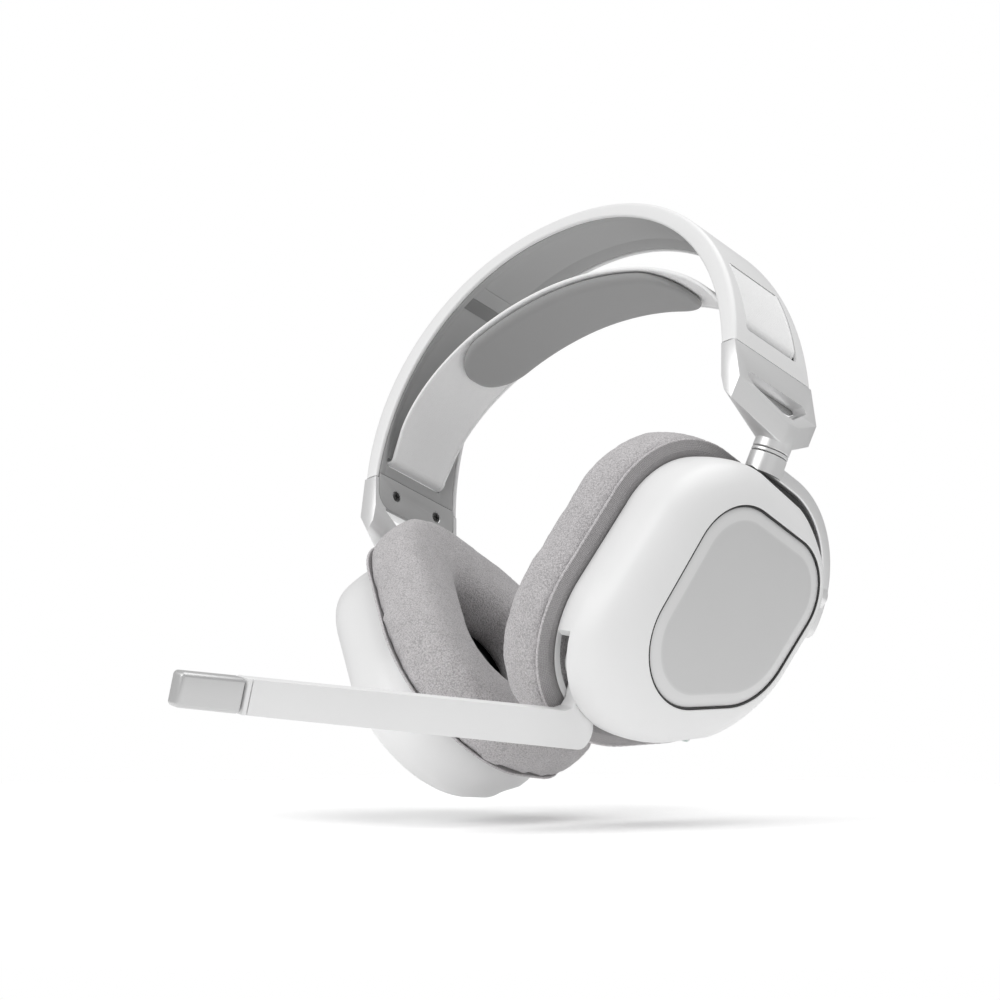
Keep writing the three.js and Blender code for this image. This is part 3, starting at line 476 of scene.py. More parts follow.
def mouldedSurface(name, key, colour=None, grain=2600, bump=0.12, **shaderValues):
    values = finishes[key]
    groupValues = {
        "Color": colour or grey(values["tone"]),
        "Roughness": values["rough"],
        "Wear": values["wear"],
        "Grain": grain,
    }
    return surface(name, mouldedGroup, groupValues, shaderValues, bump)


def brushedSurface(name, key, streak=0.05, metallic=1.0, **shaderValues):
    values = finishes[key]
    groupValues = {"Color": grey(values["tone"]), "Roughness": values["rough"], "Streak": streak}
    return surface(name, brushedGroup, groupValues, {"Metallic": metallic, **shaderValues}, 0.06, 0.03)


whiteShell = mouldedSurface("whiteShell", "white", **{"Coat Weight": 0.12, "Coat Roughness": 0.3})
greyPanel = mouldedSurface("greyPanel", "panel", grain=3400, bump=0.16)
panelFace = mouldedSurface("panelFace", "panel", grain=3400, bump=0.16)


def lightenRim(material, attribute, tone):
    # the bevel round the panel's face is a lighter grey
    tree = material.node_tree
    rim = makeNode(tree, "Attribute", attribute_name=attribute).outputs["Fac"]
    colour = next(node for node in tree.nodes if node.bl_idname == "ShaderNodeGroup").inputs["Color"]
    tree.links.new(mixColour(tree, rim, tuple(colour.default_value), grey(tone)), colour)


lightenRim(panelFace, "rim", finishes["panel"]["rim"])
linerGrey = mouldedSurface("linerGrey", "liner", grain=2200, bump=0.2)
padGrey = mouldedSurface("padGrey", "pad", grain=1800, bump=0.25)
# painted shade: the liner's grey darkened for the bars, where shadow falls on the liner
barShadeGrey = mouldedSurface("barShadeGrey", "liner", colour=grey(0.22), grain=2200, bump=0.2)
darkPlastic = mouldedSurface("darkPlastic", "dark", grain=2000, bump=0.2)
boardGreen = mouldedSurface("boardGreen", "board", colour=(0.03, 0.12, 0.06, 1))
batteryWrap = mouldedSurface("batteryWrap", "panel", colour=(0.33, 0.35, 0.38, 1))
linkSilver = brushedSurface("linkSilver", "link", 0.03, 0.55)
tipGrey = brushedSurface("tipGrey", "tip", 0.04, 0.5)
steelBright = brushedSurface("steelBright", "steel", 0.1)
steelDark = brushedSurface("steelDark", "steelDark", 0.1)
strapWeave = surface(
    "strapWeave", weaveGroup,
    {"Thread": grey(0.97), "Shadow": grey(0.82), "Warp per mm": 2.2, "Weft per mm": 2.2, "Slub": 0.3},
    {"Roughness": 0.85, "Sheen Weight": 0.25, "Sheen Roughness": 0.5}, 0.5, 0.12,
)
stripWeave = surface(
    "stripWeave", weaveGroup,
    {"Thread": knitTone(0.42), "Shadow": knitTone(0.16), "Warp per mm": 1.9, "Weft per mm": 1.9,
     "Slub": 0.3},
    {"Roughness": 0.9, "Sheen Weight": 0.2}, 0.7, 0.2,
)
cushionKnit = surface(
    "cushionKnit", knitGroup,
    {"Yarn": knitTone(0.68), "Shadow": knitTone(0.36), "Loops per m": 2100, "Fuzz": 1.1},
    {"Roughness": 0.95, "Sheen Weight": 0.4, "Sheen Roughness": 0.45}, 0.7, 0.26,
)
seamYarn = surface(
    "seamYarn", knitGroup,
    {"Yarn": knitTone(0.70), "Shadow": knitTone(0.42), "Loops per m": 1900, "Fuzz": 0.5},
    {"Roughness": 0.9, "Sheen Weight": 0.3}, 0.6, 0.2,
)
# the ear screen's own dark knit, made darker still as painted shade for the deep opening of the cushion
screenKnit = surface(
    "screenKnit", weaveGroup,
    {"Thread": grey(0.10), "Shadow": grey(0.03), "Warp per mm": 1.2, "Weft per mm": 1.2, "Slub": 0.2},
    {"Roughness": 0.95, "Sheen Weight": 0.2}, 0.6, 0.2,
)
filmClear = mouldedSurface("filmClear", "panel", colour=(0.45, 0.46, 0.45, 1))
lightColour = (0.75, 0.86, 0.82, 1)
lightClear = mouldedSurface("lightClear", "white", colour=lightColour, **{"Transmission Weight": 0.4})
print("stage: materials made")


def settle(piece, body, slotName, material, *nodes):
    piece.data.materials.clear()
    piece.data.materials.append(material)
    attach(piece, body)
    if nodes:
        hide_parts(*nodes)
    return piece


# ---------- Headband ----------

band = {
    "power": 2.1,
    "endWidth": 42.6,
    "topWidth": 28.4,
    "skin": 1.2,
    "rim": 1.7,
    "rimDepthEnd": 5.1,
    "rimDepthTop": 4.9,
    "rimSwell": 1.2,
    "edgeRound": 1.7,
    "steps": 120,
}
archHalfSpan = shellHigh.x / mm
archHeight = (shellHigh.z - bandBase) / mm
tabTop = (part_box("left_hook_patch")[1].z - bandBase) / mm + 2
tab = {"halfWidth": 13.65, "slotBottom": 6.4, "slotTop": 10.7, "top": tabTop, "line": 0.4}
tab.update({"corner": 1.6, "endGap": 0.35})
liner = {"back": 2.1, "front": 3.0, "bevel": 4.4, "shoulder": 2.8, "seam": 2.0}
liner.update({"slotRise": 0.93, "slotCorner": 1.2})


def bandHalfWidth(z):
    return (band["endWidth"] + (band["topWidth"] - band["endWidth"]) * max(0, z / archHeight)) / 2


def rimDepth(z):
    t = z / archHeight
    swell = 4 * band["rimSwell"] * t * (1 - t)
    return band["rimDepthEnd"] + (band["rimDepthTop"] - band["rimDepthEnd"]) * t + swell


def linerEdge(z):
    return bandHalfWidth(z) - band["rim"] - gap


def archAngle(z):
    return math.asin((z / archHeight) ** (band["power"] / 2))


def archStation(angle):
    # outer point of the arch, and the way out there, at an angle from its end on the wearer's left
    c, s = math.cos(angle), max(0, math.sin(angle))
    power = band["power"]
    x = archHalfSpan * math.copysign(abs(c) ** (2 / power), c)
    z = archHeight * s ** (2 / power)
    outX = math.copysign(abs(x) ** (power - 1), x) / archHalfSpan**power
    outZ = z ** (power - 1) / archHeight**power
    return x, z, Vector((outX, outZ)).normalized()


def bandSweep(name, section, first=0.0, last=math.pi, steps=None, weave=False, smoothAngle=30):
    rings = []
    steps = steps or band["steps"]
    for k in range(steps + 1):
        x, z, out = archStation(first + (last - first) * k / steps)
        rings.append([(x - out.x * depth, y, z - out.y * depth) for y, depth in section(z)])
    return loftPiece(name, rings, bandPlace, weave=weave, smoothAngle=smoothAngle)


def sideCutter(name, halfWidth, low, high, corner, side):
    outline = filleted(rectangle(-halfWidth, low, halfWidth, high), corner, 6)
    return prismPiece(name, outline, archHalfSpan - 26, archHalfSpan + 9, "x", sidePlace[side])


def makeBandShell():
    def section(z):
        edge = bandHalfWidth(z)
        wall, rim, skin = edge - band["rim"], rimDepth(z), band["skin"]
        radii = [band["edgeRound"], 0.7, 0.7, 0.4, 0.4, 0.7, 0.7, band["edgeRound"]]
        return filleted(mirrored([(edge, 0), (edge, rim), (wall, rim), (wall, skin)]), radii, 5)

    shell = bandSweep("bandShell", section)
    half, top = tab["halfWidth"] + tab["line"], tab["top"] + tab["endGap"]
    cutters = [sideCutter("window", half, tab["slotBottom"], top, tab["corner"], side) for side in sides]
    cutters.append(boxPiece("feet", (-99, -40, -5), (99, 40, gap / 2), bandPlace))
    carve(shell, cutters)
    return settle(shell, "headband", "white_shell", whiteShell, "band_shell")


def makeBandLiner():
    def section(z):
        edge, rim = linerEdge(z), rimDepth(z)
        flat = edge - liner["bevel"]
        half = [(flat, liner["back"]), (flat + 0.9, liner["shoulder"]), (edge, liner["shoulder"]),
                (edge, rim - 0.1), (flat, liner["front"])]
        return filleted(mirrored(half), [0.2, 0.1, 0.2, 0.35, 0.5, 0.5, 0.35, 0.2, 0.1, 0.2], 4)

    tray = bandSweep("bandLiner", section)
    half, low = tab["halfWidth"] + tab["endGap"], tab["slotBottom"] + liner["slotRise"]
    cutters = [sideCutter("slot", half, low, tab["slotTop"], liner["slotCorner"], side) for side in sides]
    cutters.append(boxPiece("ends", (-99, -40, -5), (99, 40, liner["seam"]), bandPlace))
    carve(tray, cutters)
    return settle(tray, "headband", "liner_grey", linerGrey, "band_liner")


# a bar across each half of the liner, coloured darker as painted shade where shadow falls on the liner, with
# a shallow ledge of the liner's own grey above it
linerBar = {"first": 54.6, "last": 58.4, "ledge": 62.5, "halfWidth": 10.2, "rise": 0.35, "ledgeInset": 0.6}


def makeLinerBars(side):
    half, rise, inset = linerBar["halfWidth"], linerBar["rise"], linerBar["ledgeInset"]
    kinds = [
        ("LinerBar", half, rise, ("first", "last"), barShadeGrey),
        ("LinerLedge", half - inset, rise / 2, ("last", "ledge"), linerGrey),
    ]
    for name, half, rise, ends, material in kinds:
        top, back = liner["front"] + rise, liner["back"]
        outline = filleted([(half, top), (half, back), (-half, back), (-half, top)], 0.2, 3)
        span = [math.radians(linerBar[key]) for key in ends]
        if side == "right":
            span = [math.pi - angle for angle in span[::-1]]
        piece = bandSweep(side + name, lambda z: outline, *span, steps=8)
        settle(piece, "headband", "liner_grey", material)


makeBandShell()
makeBandLiner()
for side in sides:
    makeLinerBars(side)
print("stage: headband made")

# ---------- Strap and pad ----------

strap = {
    "inset": 6.0,
    "base": 4.5,
    "power": 1.93,
    "width": 31.0,
    "endWidth": 27.0,
    "thickness": 1.3,
    "edgeRound": 0.5,
    "hemWidth": 1.1,
    "hemRise": 0.22,
    "widenOver": 34.0,
    "tabSteps": 12,
    "foldSteps": 14,
    "archSteps": 48,
    "foot": 0.3,  # where on the arch the strap leaves its fold, in radians
}
strapHalfSpan = archHalfSpan - strap["inset"]
strapRise = (strapHigh.z - bandBase) / mm - strap["thickness"] - strap["base"]
pad = {"length": 94.0, "width": 28.0, "thickness": 3.2, "bevel": 3.4, "rings": 12}


def strapUnderside(x):
    share = max(0, 1 - abs(x / strapHalfSpan) ** strap["power"])
    return strap["base"] + strapRise * share ** (1 / strap["power"])


def strapHalfPath():
    half = strap["thickness"] / 2
    path = []
    steps = strap["tabSteps"]
    for k in range(steps + 1):
        x, z, out = archStation(archAngle(tab["top"] + (tab["slotTop"] - tab["top"]) * k / steps))
        path.append((x - out.x * half, z - out.y * half))
    innerX = strapHalfSpan + 0.05
    turn = (path[-1][0] - innerX) / 2
    for k in range(1, strap["foldSteps"] + 1):
        angle = math.pi * k / strap["foldSteps"]
        path.append((innerX + turn * (1 + math.cos(angle)), tab["slotTop"] - turn * math.sin(angle)))
    for k in range(1, strap["archSteps"] + 1):
        angle = strap["foot"] + (math.pi / 2 - strap["foot"]) * k / strap["archSteps"]
        x = strapHalfSpan * math.cos(angle) ** (2 / strap["power"])
        z = strap["base"] + strapRise * math.sin(angle) ** (2 / strap["power"])
        path.append((max(x, 0), z + half))
    return path


def strapPath():
    right = strapHalfPath()
    return right + [(-x, z) for x, z in right[:-1][::-1]]


def strapWidthAt(i, count, z):
    tabPoints = strap["tabSteps"] + strap["foldSteps"] // 2 + 1
    if i < tabPoints or i > count - 1 - tabPoints:
        return 2 * tab["halfWidth"]
    share = min(1, max(0, (z - tab["slotTop"]) / strap["widenOver"]))
    return strap["endWidth"] + (strap["width"] - strap["endWidth"]) * share**0.7


def makeStrap():
    path = strapPath()
    rings, length = [], 0
    for i, (x, z) in enumerate(path):
        before, after = path[max(0, i - 1)], path[min(len(path) - 1, i + 1)]
        across = Vector((after[1] - before[1], before[0] - after[0])).normalized()
        half = strapWidthAt(i, len(path), z) / 2
        flat = strap["thickness"] / 2
        hem = strap["hemWidth"]
        corners = [(half, flat), (half, -flat), (half - hem, -flat)]
        corners.append((half - hem - 0.25, -flat + strap["hemRise"]))
        corners += [(-a, b) for a, b in corners[::-1]]
        radii = [0.6, 0.6, 0.3, 0.2, 0.2, 0.3, 0.6, 0.6]
        section = filleted(corners, radii, 3)
        rings.append([(x + across.x * b, a, z + across.y * b) for a, b in section])
        length += math.dist(before, (x, z))
    piece = loftPiece("strap", rings, bandPlace, weave=True, smoothAngle=45)
    settle(piece, "headband", "strap_cloth", strapWeave, "strap")
    flat = (strap["width"] * mm, length * mm)
    return piece


def makeStrapPad():
    reach, corner = pad["length"] / 2, pad["width"] / 2
    core = reach - corner
    plan = densified(filleted(rectangle(-reach, -corner, reach, corner), corner - 0.01, 16), 3.0)
    profile = [(corner, 0.0), (9.5, 0.0), (5.0, 0.0), (1.2, 0.0), (0.25, 0.05), (0.0, 0.3), (0.0, 0.9)]
    for k in range(1, pad["rings"] + 1):
        angle = math.pi / 2 * k / pad["rings"]
        drop = 0.9 + (pad["thickness"] - 0.9) * math.sin(angle)
        profile.append((pad["bevel"] * (1 - math.cos(angle)), drop))
    for inset, extra in ((5.0, 0.05), (8.0, 0.1), (11.0, 0.12), (corner, 0.12)):
        profile.append((inset, pad["thickness"] + extra))
    rings = []
    for inset, drop in profile:
        share = 1 - inset / corner
        ring = []
        for x, y in plan:
            middleX = max(-core, min(core, x))
            x = middleX + (x - middleX) * share
            ring.append((x, y * share, strapUnderside(x) - gap - drop))
        rings.append(ring)
    piece = loftPiece("strapPad", rings, bandPlace, caps=False)
    work = bmesh.new()
    work.from_mesh(piece.data)
    bmesh.ops.remove_doubles(work, verts=work.verts, dist=0.02 * mm)
    work.to_mesh(piece.data)
    work.free()
    cleanMesh(piece.data, 60)
    settle(piece, "headband", "pad_grey", padGrey, "strap_pad")
    return piece


# Extra points along the long stretches of a closed outline
def densified(outline, spacing):
    made = []
    for i, point in enumerate(outline):
        after = outline[(i + 1) % len(outline)]
        parts = max(1, int(math.dist(point, after) / spacing))
        for k in range(parts):
            made.append([a + (b - a) * k / parts for a, b in zip(point, after)])
    return made


makeStrap()
makeStrapPad()
print("stage: strap and pad made")

# ---------- End links, caps and swivels ----------

link = {
    "depth": 14.0,
    "flare": 1.4,
    "toe": 20.3,
    "capDepth": 10.6,
    "capThickness": 1.5,
    "capRadius": 10.0,
    "screwSpread": 10.4,
    "screwDrop": 4.0,
    "windowTop": 9.5,
    "windowHalf": 14.5,
    "windowBottom": 21.0,
    "edge": 0.45,
}
swivel = {"inset": 2.7, "drop": 31.2, "lean": 27.2, "radius": 6.0, "pin": 2.25}
swivel.update({"top": 10.0, "bowFoot": 3.6, "collar": 1.0, "line": 0.35})
swivelX, swivelZ = archHalfSpan - swivel["inset"], -swivel["drop"]
lean = math.radians(swivel["lean"])
linkHalfWidth = band["endWidth"] / 2 - 0.1
linkInnerX = archHalfSpan - band["rimDepthEnd"]
capInnerX = linkInnerX - 0.2
capPocketX = capInnerX + link["capThickness"] + gap


def swivelPoint(w, u, v):
    # a point of the swivel's own frame: w across, u to the rear, v up its axis
    x = swivelX + v * math.sin(lean) + w * math.cos(lean)
    z = swivelZ + v * math.cos(lean) - w * math.sin(lean)
    return x, u, z


def hullPiece(name, points, place):
    work = bmesh.new()
    for p in points:
        work.verts.new(place @ Vector(p))
    made = bmesh.ops.convex_hull(work, input=work.verts)
    spare = [item for item in made["geom_interior"] if isinstance(item, bmesh.types.BMVert)]
    bmesh.ops.delete(work, geom=spare, context="VERTS")
    mesh = bpy.data.meshes.new(name)
    work.to_mesh(mesh)
    work.free()
    cleanMesh(mesh)
    piece = bpy.data.objects.new(name, mesh)
    bpy.context.scene.collection.objects.link(piece)
    return piece


def capOutline(grow):
    edge, top = linerEdge(0) + grow, liner["seam"] - gap
    low = -link["capDepth"] - grow
    corners = [(-edge, top), (-edge, low), (edge, low), (edge, top)]
    return filleted(corners, [0.3, link["capRadius"], link["capRadius"], 0.3], 10)


def makeLink(side):
    place = sidePlace[side]
    profile = [
        (linkInnerX, -gap / 2),
        (archHalfSpan, -gap / 2),
        (archHalfSpan + link["flare"], -link["depth"]),
        (archHalfSpan - 2, -link["toe"]),
        (linkInnerX + 0.5, -link["depth"] - 2.7),
        (linkInnerX - 0.4, -link["depth"] + 2.3),
    ]
    block = prismPiece("block", profile, -linkHalfWidth, linkHalfWidth, "y", place)
    bow = [(x, y, z) for y in (-linkHalfWidth, linkHalfWidth) for x, z in profile[2:]]
    for v in (swivel["bowFoot"], swivel["top"]):
        for k in range(48):
            turn = math.pi * k / 24
            bow.append(swivelPoint(swivel["radius"] * math.cos(turn), swivel["radius"] * math.sin(turn), v))
    foot, top, outer = swivel["collar"] / 2 + swivel["line"], swivel["top"] - 1, swivel["radius"] - 0.02
    neck = [(0.01, foot), (outer - 0.18, foot), (outer, foot + 0.2), (outer, top), (0.01, top)]
    half, top, low = link["windowHalf"], -link["windowTop"], -link["windowBottom"]
    window = [(-half, top), (-half - 2, top - 2), (-2.5, low), (2.5, low), (half + 2, top - 2), (half, top)]
    window = filleted(window, [1.0, 1.0, 1.6, 1.6, 1.0, 1.0], 4)
    bore, boreTop = swivel["pin"] + gap, 6.3
    pinHole = [(bore, -2), (bore, boreTop), (0.01, boreTop), (0.01, -2)]
    piece = weld(block, [hullPiece("bow", bow, place), lathePiece("neck", neck, swivelPoint, place)])
    cutters = [
        prismPiece("window", window, archHalfSpan - 30, archHalfSpan + 20, "x", place),
        prismPiece("pocket", capOutline(gap), capPocketX - 10, capPocketX, "x", place),
    ]
    carve(piece, cutters)
    softenEdges(piece, link["edge"], 3, 14, 40)
    carve(piece, [lathePiece("pinHole", pinHole, swivelPoint, place)], 40)
    return settle(piece, "headband", "silver_link", linkSilver, side + "_link")


def makeLinerCap(side):
    place = sidePlace[side]
    back = capInnerX + link["capThickness"]
    plate = prismPiece(side + "LinerCap", capOutline(0), capInnerX, back, "x", place)
    holes = []
    for y in (-link["screwSpread"], link["screwSpread"]):
        for name, radius, depth, count in (("hole", 1.2, 3, 24), ("sink", 2.1, 0.9, 40)):
            centre = (y, -link["screwDrop"])
            holes.append(rodPiece(name, radius, capInnerX - 1, capInnerX + depth, "x", centre, place, count))
    carve(plate, holes)
    softenEdges(plate, 0.22, 3, 30)
    return settle(plate, "headband", "liner_grey", linerGrey, side + "_liner_cap")


def makeCapGapShade(side):
    # a dark strip inside the gap between the tray and the end cap: painted shade for the dark line the gap
    # shows
    edge = linerEdge(0) - 0.6
    outline = rectangle(-edge, liner["seam"] - gap + 0.03, edge, liner["seam"] - 0.03)
    line = prismPiece(side + "CapGapShade", outline, capInnerX + 0.25, capInnerX + 0.9, "x", sidePlace[side])
    settle(line, "headband", "liner_grey", darkPlastic)


def makeCapScrews(side):
    place, front, z = sidePlace[side], capInnerX + 0.1, -link["screwDrop"]
    head = [(0.01, 0.05), (1.1, 0), (1.45, 0.02), (1.75, 0.25), (1.8, 0.6), (0.9, 0.6)]
    shank = [(0.85, capPocketX + 2.1), (0.01, capPocketX + 2.2)]
    rim = [(r, front + depth) for r, depth in ((1.82, 0.12), (2.06, 0.02), (2.1, 0.5), (1.82, 0.5))]
    for number, y in enumerate((-link["screwSpread"], link["screwSpread"]), 1):
        def at(a, b, along):
            return along, y + a, z + b

        profile = [(r, front + depth) for r, depth in head] + shank
        screw = lathePiece(f"{side}CapScrew{number}", profile, at, place, 40)
        bars = []
        for length, width in ((1.15, 0.26), (0.26, 1.15)):
            outline = rectangle(y - length, z - width, y + length, z + width)
            bars.append(prismPiece("drive", outline, front - 0.5, front + 0.5, "x", place))
        carve(screw, bars)
        settle(screw, "headband", "steel", steelDark, f"{side}_cap_screw_{number}")
        ring = lathePiece(f"{side}CapRing{number}", rim, at, place, 40)
        settle(ring, "headband", "steel", steelBright)


def makeCollar(side):
    half, inner, outer = swivel["collar"] / 2, swivel["pin"] + gap, swivel["radius"] - 0.02
    rim = [(outer - 0.15, -half), (outer, -half + 0.15), (outer, half - 0.15), (outer - 0.15, half)]
    profile = [(inner, -half), *rim, (inner, half)]
    collar = lathePiece(side + "SwivelCollar", profile, swivelPoint, sidePlace[side])
    return settle(collar, "headband", "silver_link", linkSilver, side + "_swivel_collar")


for side in sides:
    makeLink(side)
    makeLinerCap(side)
    makeCapGapShade(side)
    makeCapScrews(side)
    makeCollar(side)
print("stage: links made")

# ---------- Ear cups ----------

cupCorners = [((-26.2, 35), 20.2), ((-41.1, -41.8), 20.4), ((20.2, -20), 26.1), ((33.9, 29.9), 17.3)]
cup = {
    "depth": 24.0,
    "shoulder": 12.6,
    "wall": 2.0,
    "draft": 0.9,
    "panelThickness": 2.1,
    "panelBevel": 4.4,
    "relief": 3.2,
    "swell": 7.2,
    "swellReach": 60.0,
    "swellWay": (-0.80, -0.45),
    "cornerSteps": 24,
}
boom = {
    "hinge": (-36.0, -28.6),
    "droop": 13.4,
    "inner": 0.5,
    "thickness": 5.3,
    "drop": 20.7,
    "reach": 146.4,
    "tail": 6.0,
    "rootHeight": 11.4,
    "tipHeight": 9.6,
    "hub": 6.3,
    "neck": 6.0,
    "bore": 2.3,
    "flip": 95.0,
    "tipLength": 21.0,
    "collarLength": 1.8,
    "edge": 0.9,
}
controls = {"usb": 40.6, "button": 49.4, "w": 8.5, "light": 13.7}
controls.update({"wheelRadius": 8.0, "wheelThickness": 4.0, "wheelV": 1.0})
tilt = {"w": 8.0, "v": 22.0, "pin": 2.2, "boss": 5.0}
yoke = {"inner": 15.0, "thickness": 4.5, "width": 7.0, "tail": 15.0, "endRound": 3.4}
yoke.update({"stripRise": 1.9, "stripStart": 14.0, "stripEnd": -2.0, "start": 2.5, "barrelFoot": 47.7})


def cupOutline(offset, steps=None):
    steps = steps or cup["cornerSteps"]
    made = []
    for i, (corner, radius) in enumerate(cupCorners):
        corner = np.array(corner, float)
        before = np.array(cupCorners[i - 1][0], float) - corner
        after = np.array(cupCorners[(i + 1) % 4][0], float) - corner
        before, after = before / np.linalg.norm(before), after / np.linalg.norm(after)
        half = math.acos(float(before @ after)) / 2
        middle = (before + after) / np.linalg.norm(before + after)
        centre = corner + middle * radius / math.sin(half)
        start = math.atan2(before[0], -before[1])
        for k in range(steps + 1):
            turn = start + (math.pi - 2 * half) * k / steps
            made.append(centre + (radius + offset) * np.array([math.cos(turn), math.sin(turn)]))
    return made


def reliefAt(w):
    # how much the shell's shoulder draws in over the yoke's side of the cup
    rise = min(1, max(0, (w - 8.5) / 5.5))
    fall = min(1, max(0, (cup["depth"] - w) / 3.5))
    return cup["relief"] * rise * rise * (3 - 2 * rise) * fall


def smoothShare(value):
    value = min(1, max(0, value))
    return value * value * (3 - 2 * value)


def swollen(w, point):
    # the body is fuller round its lower front corner, most of all near the cushion
    far = math.dist(point, cupCorners[1][0])
    amount = cup["swell"] * smoothShare(1 - far / cup["swellReach"]) * (1 - 0.72 * smoothShare((w - 6) / 17))
    return np.array(point) + amount * np.array(cup["swellWay"])


def plainOutline(w, offset):
    return [swollen(w, point) for point in cupOutline(offset)]


def easedOutline(w, offset):
    plain, drawnIn = cupOutline(offset), cupOutline(offset - reliefAt(w))
    made = []
    for a, b in zip(plain, drawnIn):
        share = smoothShare((a[0] - 4) / 24)
        made.append(swollen(w, a * (1 - share) + b * share))
    return made


def cupLoft(name, profile, side, loop=True, outline=plainOutline, **options):
    rings = [[(w, u, v) for u, v in densified(outline(w, offset), 6.0)] for w, offset in profile]
    return loftPiece(name, equalised(rings), cupPlace[side], loop=loop, **options)


def equalised(rings):
    # every ring takes the point places of the largest one, so that the counts agree
    most = max(len(ring) for ring in rings)
    if all(len(ring) == most for ring in rings):
        return rings
    made = []
    for ring in rings:
        points = np.array(ring + ring[:1], float)
        lengths = np.concatenate([[0], np.cumsum(np.linalg.norm(np.diff(points, axis=0), axis=1))])
        wanted = np.linspace(0, lengths[-1], most, endpoint=False)
        made.append(np.stack([np.interp(wanted, lengths, points[:, a]) for a in range(3)], axis=1).tolist())
    return made


def rearWall(v):
    # u of the cup's outer wall on its rear edge
    points = cupOutline(cup["shoulder"])
    found = []
    for i, (u0, v0) in enumerate(points):
        u1, v1 = points[(i + 1) % len(points)]
        if (v0 - v) * (v1 - v) <= 0 and v0 != v1:
            found.append(u0 + (u1 - u0) * (v - v0) / (v1 - v0))
    return max(found)


def boomPoint(forward, up):
    angle = math.radians(180 + boom["droop"])
    ahead = (math.cos(angle), math.sin(angle))
    u, v = boom["hinge"]
    return u + ahead[0] * forward + ahead[1] * up, v + ahead[1] * forward - ahead[0] * up


def lowerEdgePlace(along, offset):
    # on the outline's lower edge: a frame whose x runs along it, y towards the ear and z into the cup
    first, last = (np.array(cupCorners[i][0], float) for i in (1, 2))
    run = (last - first) / np.linalg.norm(last - first)
    out = np.array([run[1], -run[0]])
    u, v = first + run * along + out * offset
    rows = ((0, -1, 0, controls["w"]), (run[0], 0, -out[0], u), (run[1], 0, -out[1], v), (0, 0, 0, 1))
    return cupPlace["left"] @ Matrix(rows)


def edgeBlock(name, height, length, depth, along, offset, corner):
    outline = filleted(rectangle(-length / 2, -height / 2, length / 2, height / 2), corner, 6)
    return prismPiece(name, outline, 0, depth, "z", lowerEdgePlace(along, offset))


def tiltRod(side, radius, start, end):
    # a rod on the tilt axis, its ends measured from the cup's rear wall
    wall = rearWall(tilt["v"])
    return rodPiece("tiltRod", radius, wall + start, wall + end, "y", (tilt["w"], tilt["v"]), cupPlace[side])


def boomSlotCutters():
    hingeU, hingeV = boom["hinge"]
    reach = boom["drop"] + boom["rootHeight"]
    swing = math.degrees(math.asin(boom["neck"] / 2 / boom["hub"])) + 2
    first, last = 270 + boom["droop"] + swing, 270 + boom["droop"] - boom["flip"] - swing
    fan = [(hingeU, hingeV)]
    for k in range(25):
        turn = math.radians(last + (first - last) * k / 24)
        fan.append((hingeU + reach * math.cos(turn), hingeV + reach * math.sin(turn)))
    low, high = boom["inner"] - 0.35, boom["inner"] + boom["thickness"] + 0.35
    place = cupPlace["left"]
    return [
        prismPiece("fan", fan, low, high, "x", place),
        rodPiece("hubRoom", boom["hub"] + 0.5, low, high, "x", boom["hinge"], place),
        rodPiece("pinRoom", boom["bore"], -1, high + 4.7, "x", boom["hinge"], place, 24),
        rodPiece("headRoom", 3.1, -1, boom["inner"], "x", boom["hinge"], place, 24),
    ]


def makeHousing(side):
    shoulder, depth, wall = cup["shoulder"], cup["depth"], cup["wall"]
    outer = [(0.1, cup["draft"]), (3, 0.45), (8, 0), (depth - 10.3, 0.1), (depth - 6.6, 1.4)]
    outer += [(depth - 3.6, 4.3), (depth - 1.4, 8)]
    outer = smoothLine([(w, shoulder - inset) for w, inset in outer] + [(depth, 0.95)], 5)
    seat = depth - cup["panelThickness"] - gap
    lip = [(depth + 0.02, 0.62), (depth - 0.08, 0.44), (depth - 0.3, 0.4), (seat, 0.4), (seat, -2.6),
           (seat - 1.6, -2.6)]
    inner = [(seat - 2, 7.2), (depth - 5.2, 4.3), (depth - 7.4, 1.4), (depth - 10.5, 0), (8, 0)]
    inner = [(w, shoulder - inset - wall) for w, inset in inner + [(-0.2, cup["draft"])]]
    foot = [(-0.2, shoulder - cup["draft"] - 0.35), (-0.1, shoulder - cup["draft"] - 0.08)]
    profile = outer + lip + inner + foot
    piece = cupLoft(side + "Housing", profile, side, outline=easedOutline, smoothAngle=38)
    cutters = [tiltRod(side, tilt["pin"] + gap, -8, 3)]
    if side == "left":
        wheelU = rearWall(controls["wheelV"]) + 1.5 - controls["wheelRadius"]
        half = controls["wheelThickness"] / 2 + gap
        low, high, centre = controls["w"] - half, controls["w"] + half, (wheelU, controls["wheelV"])
        cutters += boomSlotCutters() + [
            rodPiece("wheelRoom", controls["wheelRadius"] + gap, low, high, "x", centre, cupPlace[side], 64),
            edgeBlock("usbRoom", 3.9, 9.5, 9, controls["usb"], shoulder + 1, 1.7),
            edgeBlock("buttonRoom", 3.6, 5.6, 6, controls["button"], shoulder + 2, 1.7),
        ]
        along = (controls["usb"] + controls["button"]) / 2
        centre, place = (0, controls["w"] - controls["light"]), lowerEdgePlace(along, shoulder + 1)
        cutters.append(rodPiece("lightRoom", 1.3, 0, 4.5, "z", centre, place, 24))
    carve(piece, cutters, 38)
    return settle(piece, side + "_cup", "white_shell", whiteShell, side + "_housing")


